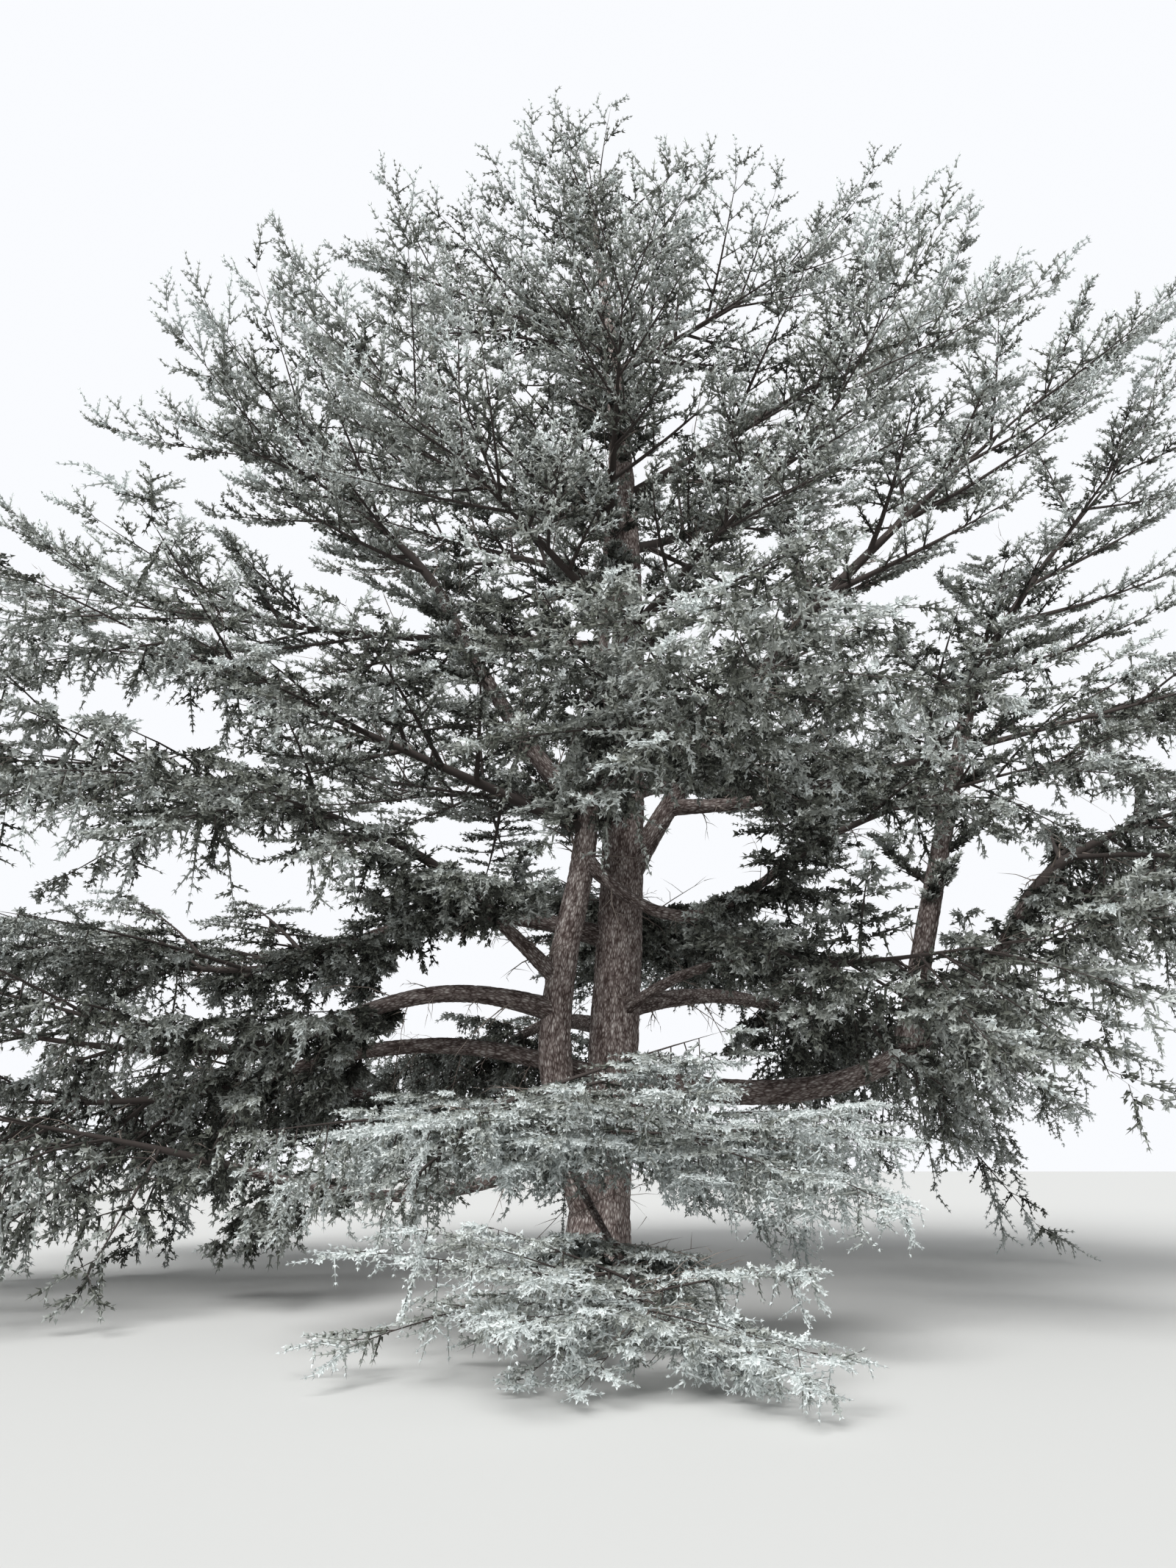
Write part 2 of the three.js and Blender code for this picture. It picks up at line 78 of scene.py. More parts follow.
camera = bpy.data.objects.new("camera", bpy.data.cameras.new("camera"))
camera.data.sensor_width = SENSOR_LONG_SIDE
camera.data.lens = SENSOR_LONG_SIDE * FOCAL_LENGTH_IN_PIXELS / PHOTO_HEIGHT
camera.data.clip_end = FARTHEST_SEEN
camera.location = EYE
camera.rotation_euler = (math.radians(90 + TIPPED_UP), 0, 0)
bpy.context.scene.collection.objects.link(camera)
bpy.context.scene.camera = camera
print("lens:", round(camera.data.lens, 1), "mm")

# %% [markdown]
# ## Sky and floor
# The photograph was taken under a bright overcast sky, which whitens the top of every shoot and leaves
# the inside of the crown dark. A pale world and one very soft sun, from high behind the camera and to
# its left, do the same. The floor is a plain pale sheet, and it isn't part of the tree.

# %% World, sun and floor
BACKDROP_COLOR = (0.955, 0.97, 1.0, 1)
SKY_COLOR = (0.95, 0.975, 1.0, 1)
SKY_STRENGTH = 0.47
SUN_STRENGTH = 4.0
SUN_SOFTNESS = 40
SUN_TURN = (46, 0, -20)
FLOOR_SIZE = 400
FLOOR_COLOR = (0.62, 0.62, 0.605, 1)


def plain_material(name, color, roughness):
    material = bpy.data.materials.new(name)
    material.use_nodes = True
    shader = material.node_tree.nodes["Principled BSDF"]
    shader.inputs["Base Color"].default_value = color
    shader.inputs["Roughness"].default_value = roughness
    return material


def mesh_object(name, mesh, materials):
    piece = bpy.data.objects.new(name, mesh)
    bpy.context.scene.collection.objects.link(piece)
    for material in materials:
        mesh.materials.append(material)
    return piece


world = bpy.data.worlds.new("overcast")
world.use_nodes = True
nodes, links = world.node_tree.nodes, world.node_tree.links
sky = nodes["Background"]
sky.inputs["Color"].default_value = SKY_COLOR
sky.inputs["Strength"].default_value = SKY_STRENGTH
backdrop = nodes.new("ShaderNodeBackground")
backdrop.inputs["Color"].default_value = BACKDROP_COLOR
seen = nodes.new("ShaderNodeLightPath")
either = nodes.new("ShaderNodeMixShader")
links.new(seen.outputs["Is Camera Ray"], either.inputs["Fac"])
links.new(sky.outputs["Background"], either.inputs[1])
links.new(backdrop.outputs["Background"], either.inputs[2])
links.new(either.outputs["Shader"], nodes["World Output"].inputs["Surface"])
bpy.context.scene.world = world
bpy.context.scene.view_settings.view_transform = "Standard"

sun = bpy.data.objects.new("sun", bpy.data.lights.new("sun", "SUN"))
sun.data.energy = SUN_STRENGTH
sun.data.angle = math.radians(SUN_SOFTNESS)
sun.rotation_euler = [math.radians(turn) for turn in SUN_TURN]
bpy.context.scene.collection.objects.link(sun)

sheet = bmesh.new()
bmesh.ops.create_grid(sheet, x_segments=1, y_segments=1, size=FLOOR_SIZE / 2)
floor_mesh = bpy.data.meshes.new("floor")
sheet.to_mesh(floor_mesh)
sheet.free()
floor = mesh_object("floor", floor_mesh, [plain_material("floor", FLOOR_COLOR, roughness=0.9)])
print("floor and lights ready")

# %% [markdown]
# ## The limbs' lines
# A limb is a line and a radius that shrinks along it. The two stems run through a few places, joined by
# a smooth curve and read by height. A bough goes out level from its parent, with a rise that may bend
# up at its end and an arch. These are the sizes of the model, so that bark and branches fall where its
# solids are.

# %% Lines and directions
RIGHT = np.array([1.0, 0, 0])
AWAY = np.array([0, 1.0, 0])
NEAR = np.array([0, -1.0, 0])
UP = np.array([0, 0, 1.0])
POINTS_A_SPAN = 40
NUDGE = 0.001


def unit(vectors):
    return vectors / np.linalg.norm(vectors, axis=-1, keepdims=True)


def heading(azimuth, climb=0):
    turn, tilt = math.radians(azimuth), math.radians(climb)
    return np.array([math.cos(tilt) * math.cos(turn), math.cos(tilt) * math.sin(turn), math.sin(tilt)])


def span_between(before, start, end, after):
    """A smooth curve from start to end, aimed by the places before and after them."""
    gaps = [math.sqrt(np.linalg.norm(b - a)) for a, b in ((before, start), (start, end), (end, after))]
    first = (start - before) / gaps[0] - (end - before) / (gaps[0] + gaps[1]) + (end - start) / gaps[1]
    last = (end - start) / gaps[1] - (after - start) / (gaps[1] + gaps[2]) + (after - end) / gaps[2]
    first, last = first * gaps[1], last * gaps[1]
    t = np.linspace(0, 1, POINTS_A_SPAN)[:, None]
    square = (3 * (end - start) - 2 * first - last) * t**2
    cube = (2 * (start - end) + first + last) * t**3
    return start + first * t + square + cube


def stem_line(places):
    """A line through the places, which takes a share of its height."""
    places = [np.array(place, float) for place in places]
    around = [2 * places[0] - places[1], *places, 2 * places[-1] - places[-2]]
    fine = np.concatenate([span_between(*around[i:i + 4]) for i in range(len(places) - 1)])

    def line(t):
        height = places[0][2] + (places[-1][2] - places[0][2]) * np.asarray(t, float)
        return np.stack([np.interp(height, fine[:, 2], fine[:, axis]) for axis in range(3)], -1)

    return line


def bough_line(start, azimuth, reach, rise, bend, arch):
    """A line out at one azimuth, which takes a share of its reach."""
    def line(t):
        t = np.clip(np.asarray(t, float), 0, 1)[..., None]
        lift = rise * t**bend + arch * np.sin(math.pi * t)
        return start + heading(azimuth) * reach * t + UP * lift

    return line


def ways_along(line, t):
    """The line's directions at its shares t."""
    t = np.clip(t, NUDGE, 1 - NUDGE)
    return unit(line(t + NUDGE) - line(t - NUDGE))


print("one span has", POINTS_A_SPAN, "points")

# %% [markdown]
# ## The two stems
# The trunk leans a little to the right and comes back, and the front stem leaves the same foot and stands
# close against it. A few places down each one's middle make a smooth curve. The trunk's radius shrinks
# slowly at first and fast near the tip, and five roots flare at its foot.

# %% Stems
TRUNK_TOP = 17.5
TRUNK_PLACES = [
    (0, 0, 0), (0.05, 0.01, 0.9), (0.26, 0.06, 3), (0.46, 0.12, 7), (0.54, 0.14, 11), (0.32, 0.08, 15),
    (0.05, 0, TRUNK_TOP),
]
BOLE = {"radius": 0.405, "power": 0.65, "beyond": 0.5, "least": 0.01}
FLARE = {"radius": 0.14, "height": 0.42, "lobes": 5, "depth": 0.2, "turn": 35}
FRONT_STEM_PLACES = [
    (0, -0.02, 0.75), (-0.24, -0.3, 1.5), (-0.55, -0.6, 2.9), (-0.47, -0.66, 4.2), (-0.18, -0.62, 5.7),
    (-0.04, -0.58, 7.2), (0.14, -0.56, 9.6), (0.26, -0.62, 11.6), (0.3, -0.8, 13),
]
FRONT_STEM_RADII = (0.27, 0.045)


def trunk_radius(t, turn=0.0):
    """The trunk tapers to its tip, and swells at the foot into a lobed root flare."""
    height = t * TRUNK_TOP
    shrink = 1 - height / (TRUNK_TOP + BOLE["beyond"])
    radius = BOLE["radius"] * shrink ** BOLE["power"] + BOLE["least"]
    foot = np.exp(-height / FLARE["height"])
    lobe = 1 + FLARE["depth"] * foot * np.cos(FLARE["lobes"] * turn + math.radians(FLARE["turn"]))
    return (radius + FLARE["radius"] * foot) * lobe


def taper(first, last):
    return lambda t, turn=0.0: first + (last - first) * t


print("the trunk is", round(2 * trunk_radius(0.1), 2), "m thick above its foot")

# %% [markdown]
# ## The table of boughs
# Each row is one bough: its parent, where it leaves it, its azimuth, and how far it goes out and up.
# A row is easier to check against the tree than a list of points.

# %% Boughs
BOUGHS = [
    # name, parent, place on it, azimuth, reach, rise, bend, arch, first radius, last radius
    ("right_low", "trunk", 2.75, 348, 5.9, 2.3, 4, -0.3, 0.21, 0.1),
    ("right_leader", "right_low", 0.7, 12, 1.4, 5.0, 0.9, 0, 0.17, 0.11),
    ("right_rising", "trunk", 5.4, 347, 2.5, 3.7, 0.85, 0, 0.17, 0.125),
    ("right_mid", "right_rising", 0.3, 339, 2.6, 0.1, 1, -0.1, 0.11, 0.075),
    ("right_dip", "front_stem", 5.9, 335, 3.0, -0.5, 0.4, -0.7, 0.1, 0.065),
    ("left_rising", "front_stem", 6.6, 195, 2.3, 3.1, 1.4, 0, 0.15, 0.085),
    ("left_fork", "front_stem", 4.0, 207, 1.5, 1.2, 0.95, 0, 0.11, 0.08),
    ("left_long", "trunk", 4.7, 172, 4.6, -0.1, 1, 0.5, 0.15, 0.08),
    ("left_low", "front_stem", 3.6, 201, 3.3, -0.4, 1, 0.35, 0.14, 0.09),
    ("left_lower", "trunk", 2.7, 190, 5.1, -0.1, 1, 0.5, 0.14, 0.08),
    ("left_rear", "trunk", 2.4, 152, 4.75, 0.3, 1, -0.25, 0.13, 0.07),
    ("left_sweep", "front_stem", 1.75, 210, 4.6, -0.2, 1, -0.45, 0.1, 0.055),
    ("left_high", "trunk", 9.3, 180, 2.3, 0.3, 1, 0.1, 0.12, 0.08),
    ("front_low", "trunk", 2.3, 253, 4.5, -0.15, 1, 0.2, 0.12, 0.06),
    ("front_drop", "front_low", 0.6, 284, 3.3, -1.65, 0.7, 0, 0.055, 0.035),
    ("front_mid", "front_stem", 6.9, 291, 1.7, 0.1, 1, 0.2, 0.085, 0.06),
    ("front_right", "trunk", 3.6, 306, 3.6, 0.3, 1, 0.3, 0.09, 0.05),
    ("back_right", "trunk", 7.0, 50, 2.8, 0.8, 1, 0.1, 0.13, 0.085),
    ("back", "trunk", 5.2, 84, 3.0, 0.5, 1, 0.2, 0.13, 0.08),
    ("back_left", "trunk", 6.9, 126, 2.8, 0.8, 1, 0.1, 0.12, 0.08),
    ("back_low_right", "trunk", 3.7, 42, 4.6, 0.2, 1, 0.3, 0.15, 0.08),
    ("back_low_left", "trunk", 3.4, 114, 4.4, 0.2, 1, 0.25, 0.14, 0.07),
]
print(len(BOUGHS), "boughs")

# %% [markdown]
# ## Limbs from their tables
# A limb holds its line, its radius and two directions across it, for its bark. A bough starts from a
# place on a limb above it in the table.

# %% Limbs
NEARLY_PLUMB = 0.93


class Limb:
    """A line with its radius. The stems' low and high turn a height into a share of their line."""

    def __init__(self, node, line, radius, low=0, high=1, level=False):
        self.node, self.line, self.radius = node, line, radius
        self.low, self.high, self.level = low, high, level

    def place(self, at):
        return self.line((at - self.low) / (self.high - self.low))

    def across(self, t):
        """Two directions across the line at its shares t, which stay steady along it."""
        if self.level:
            return np.tile(RIGHT, (len(t), 1)), np.tile(NEAR, (len(t), 1))
        chord = unit(self.line(1.0) - self.line(0.0))
        ways = ways_along(self.line, t)
        side = unit(np.cross(ways, AWAY if abs(chord[2]) > NEARLY_PLUMB else UP))
        return side, np.cross(side, ways)


limbs = {
    "trunk": Limb("trunk", stem_line(TRUNK_PLACES), trunk_radius, 0, TRUNK_TOP, level=True),
    "front_stem": Limb(
        "front_stem", stem_line(FRONT_STEM_PLACES), taper(*FRONT_STEM_RADII),
        FRONT_STEM_PLACES[0][2], FRONT_STEM_PLACES[-1][2],
    ),
}
for name, parent, at, azimuth, reach, rise, bend, arch, first, last in BOUGHS:
    line = bough_line(limbs[parent].place(at), azimuth, reach, rise, bend, arch)
    limbs[name] = Limb("bough_" + name, line, taper(first, last))
print(len(limbs), "limbs")

# %% [markdown]
# ## Bark relief
# Old cedar bark breaks into small upright plates with dark cracks between them. The relief is in the
# mesh, so that it catches light from every side: each limb starts as a cylinder that is cut into many
# rings, and every point is set on the limb's line at its radius, less the depth of the cracks.
# A Voronoi pattern in the straightened limb gives the plates, and slow noise keeps the limb from
# being a perfect pipe. Where a bough leaves its parent it swells into a collar.

# %% Bark meshes
PLATE_LENGTH = 2.6
CRACK_SHARE = 0.3
COLLAR = {"swell": 0.4, "length": 0.3}
WOBBLE = {"depth": 0.06, "length": 0.55}
STEPS_A_LIMB = 200


def plate_relief(spots, width, depth):
    """How far a point lies below the top of its plate of bark: 0 on it, and -depth in a crack."""
    relief = np.empty(len(spots))
    for i, (x, y, along) in enumerate(spots):
        near, second = noise.voronoi(Vector((x / width, y / width, along / (width * PLATE_LENGTH))))[0][:2]
        relief[i] = min(1, (second - near) / CRACK_SHARE) - 1
    return relief * depth


def wobble(spots):
    """Slow swellings along a limb, as a share of its radius."""
    scale = 1 / WOBBLE["length"]
    return np.array([noise.noise(Vector(spot) * scale) for spot in spots]) * WOBBLE["depth"]


def unit_pipe(sides, rings):
    """A closed cylinder of radius 1 and height 1, with this many rows of faces."""
    pipe = bmesh.new()
    bmesh.ops.create_cone(pipe, cap_ends=True, segments=sides, radius1=1, radius2=1, depth=1)
    upright = [edge for edge in pipe.edges if abs(edge.verts[0].co.z - edge.verts[1].co.z) > 0.5]
    bmesh.ops.subdivide_edges(pipe, edges=upright, cuts=rings - 1)
    return pipe


def run_along(limb, t):
    """How far along the limb's line its shares t lie, in metres."""
    steps = np.linspace(0, 1, STEPS_A_LIMB)
    run = np.cumsum(np.linalg.norm(np.diff(limb.line(steps), axis=0), axis=1))
    return np.interp(t, steps, np.concatenate([[0], run]))


def straightened(limb, t, turn, collar):
    """The radius at every share and turn, and the grain: the limb's surface as if the limb were upright.
    The grain is moved by the length of the limb's name, so that limbs differ in their plates."""
    along = run_along(limb, t)
    radius = limb.radius(t, turn)
    if collar:
        radius = radius * (1 + COLLAR["swell"] * np.exp(-along / COLLAR["length"]))
    grain = np.stack([radius * np.cos(turn), radius * np.sin(turn), along], -1)
    return radius, grain + len(limb.node)


def grow_bark(limb, sides, rings, crowding, plate, depth, collar):
    """The mesh of one limb with its bark, which keeps the grain for the bark's colours."""
    pipe = unit_pipe(sides, rings)
    spots = np.array([vertex.co for vertex in pipe.verts])
    t = (spots[:, 2] + 0.5).clip(0, 1) ** crowding
    turn = np.arctan2(spots[:, 1], spots[:, 0])
    radius, grain = straightened(limb, t, turn, collar)
    radius = radius * (1 + wobble(grain)) + plate_relief(grain, plate, depth)
    side, over = limb.across(t)
    outward = side * np.cos(turn)[:, None] + over * np.sin(turn)[:, None]
    places = limb.line(t) + outward * radius[:, None]
    for vertex, place in zip(pipe.verts, places):
        vertex.co = place
    bmesh.ops.recalc_face_normals(pipe, faces=pipe.faces)
    mesh = bpy.data.meshes.new(limb.node)
    pipe.to_mesh(mesh)
    pipe.free()
    mesh.shade_smooth()
    kept_grain = mesh.attributes.new("grain", "FLOAT_VECTOR", "POINT")
    kept_grain.data.foreach_set("vector", grain.astype(np.float32).ravel())
    return mesh


print("a plate of bark is", PLATE_LENGTH, "times as tall as it is wide")

# %% [markdown]
# ## Flakes of bark
# Flakes lie on every plate of bark, with cracks of their own. So the colours use finer Voronoi cells than
# the relief, which don't have to line up with it, and a noise that mottles them. All patterns read the
# grain attribute, so they run along each limb, whichever way it points.

# %% Bark pattern
CELLS_A_METRE = (16, 16, 5.5)
FLAKE_CELLS = 2.0
MOTTLE = {"Scale": 0.9, "Detail": 7, "Roughness": 0.65}
EDGE_GAIN, EDGE_START = 0.9, -0.12


def set_inputs(node, values):
    """Each named input socket of a node gets its value."""
    for name, value in values.items():
        node.inputs[name].default_value = value


def bark_pattern(nodes, links):
    """A socket that is high on a flake of bark and low in the cracks between flakes."""
    grain = nodes.new("ShaderNodeAttribute")
    grain.attribute_name = "grain"
    stretch = nodes.new("ShaderNodeMapping")
    stretch.inputs["Scale"].default_value = CELLS_A_METRE
    links.new(grain.outputs["Vector"], stretch.inputs["Vector"])
    flakes = nodes.new("ShaderNodeTexVoronoi")
    flakes.feature = "DISTANCE_TO_EDGE"
    flakes.inputs["Scale"].default_value = FLAKE_CELLS
    links.new(stretch.outputs["Vector"], flakes.inputs["Vector"])
    mottle = nodes.new("ShaderNodeTexNoise")
    set_inputs(mottle, MOTTLE)
    links.new(stretch.outputs["Vector"], mottle.inputs["Vector"])
    edge = nodes.new("ShaderNodeMath")
    edge.operation = "MULTIPLY_ADD"
    edge.inputs[1].default_value = EDGE_GAIN
    edge.inputs[2].default_value = EDGE_START
    links.new(flakes.outputs["Distance"], edge.inputs[0])
    height = nodes.new("ShaderNodeMath")
    height.operation = "ADD"
    height.use_clamp = True
    links.new(edge.outputs["Value"], height.inputs[0])
    links.new(mottle.outputs["Fac"], height.inputs[1])
    return height.outputs["Value"]


print("a flake of bark is about", round(100 / (CELLS_A_METRE[0] * FLAKE_CELLS), 1), "cm wide")

# %% [markdown]
# ## Bark colour
# The bark is a dark maroon brown, with pale grey and beige flakes and near black cracks. One ramp turns
# the height of the flakes into these colours, and a bump from the same height shades their edges. The
# boughs' copy of the bark gets a darker tint: painted shade, for the shade of the crown that they sit in.

# %% Bark material
BARK_COLORS = [
    (0.0, (0.014, 0.01, 0.009)), (0.36, (0.075, 0.052, 0.047)), (0.58, (0.26, 0.215, 0.2)),
    (0.82, (0.62, 0.58, 0.55)),
]
BUMP = {"Strength": 0.6, "Distance": 0.008}
BARK_SHEEN = {"Roughness": 0.93, "Specular IOR Level": 0.25}
# the second tint darkens the boughs' copy of the bark, as painted shade under the crown
OLD_TINT, BOUGH_SHADE_TINT = 1.0, 0.7


def bark_ramp(nodes, tint):
    """The bark's colours, from the cracks to the tops of the flakes."""
    ramp = nodes.new("ShaderNodeValToRGB")
    while len(ramp.color_ramp.elements) < len(BARK_COLORS):
        ramp.color_ramp.elements.new(0.5)
    for element, (place, color) in zip(ramp.color_ramp.elements, BARK_COLORS):
        element.position = place
        element.color = (*[c * tint for c in color], 1)
    return ramp


def bark_material(name, tint):
    material = bpy.data.materials.new(name)
    material.use_nodes = True
    nodes, links = material.node_tree.nodes, material.node_tree.links
    shader = nodes["Principled BSDF"]
    set_inputs(shader, BARK_SHEEN)
    height = bark_pattern(nodes, links)
    ramp = bark_ramp(nodes, tint)
    links.new(height, ramp.inputs["Fac"])
    links.new(ramp.outputs["Color"], shader.inputs["Base Color"])
    bump = nodes.new("ShaderNodeBump")
    set_inputs(bump, BUMP)
    links.new(height, bump.inputs["Height"])
    links.new(bump.outputs["Normal"], shader.inputs["Normal"])
    return material


old_bark = bark_material("old_bark", OLD_TINT)
# the boughs' copy of the bark, darkened as painted shade
bough_bark_shaded = bark_material("bough_bark_shaded", BOUGH_SHADE_TINT)
print("bark materials:", old_bark.name, bough_bark_shaded.name)

# %% [markdown]
# ## Bark on every limb
# The trunk has the finest rings near its foot, at eye height. The stems have wide plates and the boughs
# narrow ones, and a bough's number of sides follows its girth, so that all faces are of a like size.

# %% Dress the limbs
TRUNK_BARK = {"sides": 96, "rings": 420, "crowding": 1.5, "plate": 0.07, "depth": 0.016, "collar": False}
STEM_BARK = {"sides": 64, "rings": 300, "crowding": 1.2, "plate": 0.055, "depth": 0.012, "collar": False}
BOUGH_BARK = {"crowding": 1, "plate": 0.042, "depth": 0.007, "collar": True}
FACE_SIZE = 0.034
GIRTH_TAKEN_AT = 0.3


def dress(limb, material, **bark):
    piece = mesh_object(limb.node + "_bark", grow_bark(limb, **bark), [material])
    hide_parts(limb.node)
    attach(piece, "root")
    return len(piece.data.polygons)


faces = dress(limbs["trunk"], old_bark, **TRUNK_BARK) + dress(limbs["front_stem"], old_bark, **STEM_BARK)
for name, *row in BOUGHS:
    limb = limbs[name]
    length = np.linalg.norm(limb.line(1.0) - limb.line(0.0))
    sides = round(2 * math.pi * limb.radius(GIRTH_TAKEN_AT) / FACE_SIZE)
    # boughs take the darker copy of the bark, which is painted shade
    faces += dress(limb, bough_bark_shaded, sides=sides, rings=round(length / FACE_SIZE), **BOUGH_BARK)
print("bark:", 2 * faces, "triangles")

# %% [markdown]
# ## The table of masses
# Each mass of foliage grows from one stem. The stem goes on from its bough's end, or leaves one of the
# two main stems at a height, and turns to its own heading. A gap in the crown is closed by changing the
# heading, length or width in one row.

# %% Masses
MASSES = [
    # name, bough or stem, height on a stem, habit, azimuth, climb, length, width
    ("crown_top", "trunk", TRUNK_TOP, "plume", 150, 80, 1.2, 3.0),
    ("top_left", "trunk", 15.0, "plume", 186, 22, 4.0, 5.2),
    ("top_right", "trunk", 14.6, "plume", 358, 33, 4.4, 5.2),
    ("top_back", "trunk", 14.5, "plume", 95, 38, 4.2, 5.2),
    ("top_front", "front_stem", 13, "plume", 258, 34, 2.6, 5.0),
    ("upper_left", "trunk", 11.7, "plume", 188, 13, 5.4, 6.6),
    ("upper_front_left", "front_stem", 9.8, "plume", 236, 13, 5.2, 6.2),
    ("upper_front_right", "trunk", 9.7, "plume", 301, 14, 5.8, 6.4),
    ("upper_right", "trunk", 12.2, "plume", 354, 31, 6.2, 6.2),
    ("upper_back_right", "trunk", 11.2, "plume", 48, 31, 7.0, 6.2),
    ("upper_back", "trunk", 12.0, "plume", 102, 31, 6.2, 6.0),
    ("upper_back_left", "trunk", 10.6, "plume", 148, 27, 7.0, 6.0),
    ("right_low", "right_low", 0, "skirt", 350, 7, 4.0, 6.8),
    ("right_leader", "right_leader", 0, "plume", 356, 47, 5.8, 6.2),
    ("right_rising", "right_rising", 0, "plume", 341, 36, 6.4, 6.4),
    ("right_mid", "right_mid", 0, "shelf", 345, 11, 6.2, 7.0),
    ("right_dip", "right_dip", 0, "shelf", 340, 6, 4.6, 5.8),
    ("left_rising", "left_rising", 0, "plume", 206, 20, 3.8, 6.0),
    ("left_mid", "front_stem", 6.2, "shelf", 207, 16, 7.4, 6.8),
    ("left_fork", "left_fork", 0, "shelf", 209, -2, 6.4, 7.0),
    ("left_long", "left_long", 0, "shelf", 174, 15, 5.2, 7.2),
    ("left_low", "left_low", 0, "skirt", 203, 13, 5.6, 7.2),
    ("left_lower", "left_lower", 0, "skirt", 186, 4, 4.2, 6.8),
    ("left_rear", "left_rear", 0, "skirt", 148, 4, 4.8, 6.4),
    ("left_sweep", "left_sweep", 0, "skirt", 212, 8, 3.9, 5.4),
    ("left_high", "left_high", 0, "plume", 186, 7, 7.0, 6.6),
    ("front_low", "front_low", 0, "fan", 350, -2, 4.6, 5.0),
    ("front_drop", "front_drop", 0, "low", 270, 0, 2.2, 4.2),
    ("front_mid", "front_mid", 0, "shelf", 284, -3, 4.4, 6.4),
    ("front_right", "front_right", 0, "shelf", 322, 4, 3.8, 5.4),
    ("back_right", "back_right", 0, "plume", 48, 18, 6.4, 6.6),
    ("back", "back", 0, "shelf", 80, 9, 5.8, 7.6),
    ("back_left", "back_left", 0, "plume", 132, 18, 6.4, 6.6),
    ("back_low_right", "back_low_right", 0, "skirt", 36, 4, 5.0, 7.0),
    ("back_low_left", "back_low_left", 0, "skirt", 118, 5, 5.2, 7.0),
    ("upper_front", "front_stem", 11.3, "plume", 272, 22, 4.2, 5.4),
]
print(len(MASSES), "masses")

# %% [markdown]
# ## Habits of growth
# Five habits cover the crown: plumes high up, with branches all round, level shelves in the middle,
# weeping skirts at the rim, and in front a fan with a low spray under it. A habit says how side
# twigs leave and hang, how large the needles are, how full the mass is, how silver it is and how much
# painted light lightens it, most in the front fan and spray and in the plumes, and how much of the limb
# that bears it stays bare.

# %% Habits
# bloom is partly the needles' own silver and partly painted light: the front fan and low spray, out in the
# open, and the high plumes are lightened
HABITS = {
    "plume": {"leave": 56, "turn": 137.5, "roll": 30, "lift": 0.2, "hang": 0, "sag": 0, "strings": 0,
              "needle": 1.03, "fullness": 0.98, "bloom_and_painted_light": 0.4, "bare": 0.2},
    "shelf": {"leave": 62, "turn": 180, "roll": 60, "lift": 0.04, "hang": 0.28, "sag": 0.1, "strings": 0.25,
              "needle": 1.05, "fullness": 1.1, "bloom_and_painted_light": -0.05, "bare": 0.5},
    "skirt": {"leave": 62, "turn": 180, "roll": 74, "lift": 0.0, "hang": 0.5, "sag": 0.25, "strings": 0.42,
              "needle": 1.05, "fullness": 1.0, "bloom_and_painted_light": 0.05, "bare": 0.62},
    "fan": {"leave": 64, "turn": 180, "roll": 32, "lift": 0.04, "hang": 0.2, "sag": 0.1, "strings": 0.42,
            "needle": 0.72, "fullness": 1.8, "bloom_and_painted_light": 1.5, "bare": 0.85},
    "low": {"leave": 66, "turn": 180, "roll": 45, "lift": 0.05, "hang": 0.2, "sag": 0.1, "strings": 0.3,
            "needle": 0.66, "fullness": 1.7, "bloom_and_painted_light": 1.5, "bare": 0.8},
}
print("habits:", ", ".join(HABITS))

# %% [markdown]
# ## Arcs
# Every stem of a mass, branch, twig and shoot is one arc with three places: its start, an elbow that it
# bends towards, and its end. Blender's own curves would do for a few. A crown has more than a hundred
# thousand, so they are rows of arrays.

# %% Arcs
class Curves(NamedTuple):
    """Many twigs at once, each one arc from a start by an elbow to an end, with the radius of its root."""

    start: np.ndarray
    elbow: np.ndarray
    end: np.ndarray
    girth: np.ndarray

    def at(self, number, t):
        """Places on the curves with these numbers, at shares t, and the directions there."""
        start, elbow, end = self.start[number], self.elbow[number], self.end[number]
        t = t[..., None]
        place = (1 - t) ** 2 * start + 2 * t * (1 - t) * elbow + t**2 * end
        return place, unit((1 - t) * (elbow - start) + t * (end - elbow))

    def lengths(self):
        return np.linalg.norm(self.elbow - self.start, axis=1) + np.linalg.norm(self.end - self.elbow, axis=1)

    def pick(self, kept):
        return Curves(*(rows[kept] for rows in self))

    def after(self, t):
        """The same curves without their first share t."""
        everyone = np.arange(len(self.start))
        start, _ = self.at(everyone, np.full(len(everyone), t))
        return Curves(start, self.elbow * (1 - t) + self.end * t, self.end, self.girth * (1 - t))

    def with_others(self, others):
        return Curves(*(np.concatenate(pair) for pair in zip(self, others)))


quarter = Curves(RIGHT[None], (RIGHT + UP)[None], UP[None], girth=np.ones(1))
print("a quarter arc is", quarter.lengths()[0], "long by way of its elbow")

# %% [markdown]
# ## Masses and their stations
# A mass also clothes the outer part of the limb that bears it. Its stations are places along both arcs,
# and say which part of the crown is its own. Those on its stem are the model's, so that the twigs fill the
# same room as the solid that they replace.

# %% Masses and stations
STATION_SHARES = (0.1, 0.3, 0.5, 0.7, 0.85, 1)
FIRST_ON_STEM = 0.2
BEARER_SHARES = (0.35, 0.6, 0.85)
CLOTHED_ON_STEM = 0.9
BEARER_ROOT = 0.1
STEM_ROOT, STEM_THICKER, STEM_ELBOW = 0.05, 8, 0.3
GIRTH_AT_TIP = 0.95


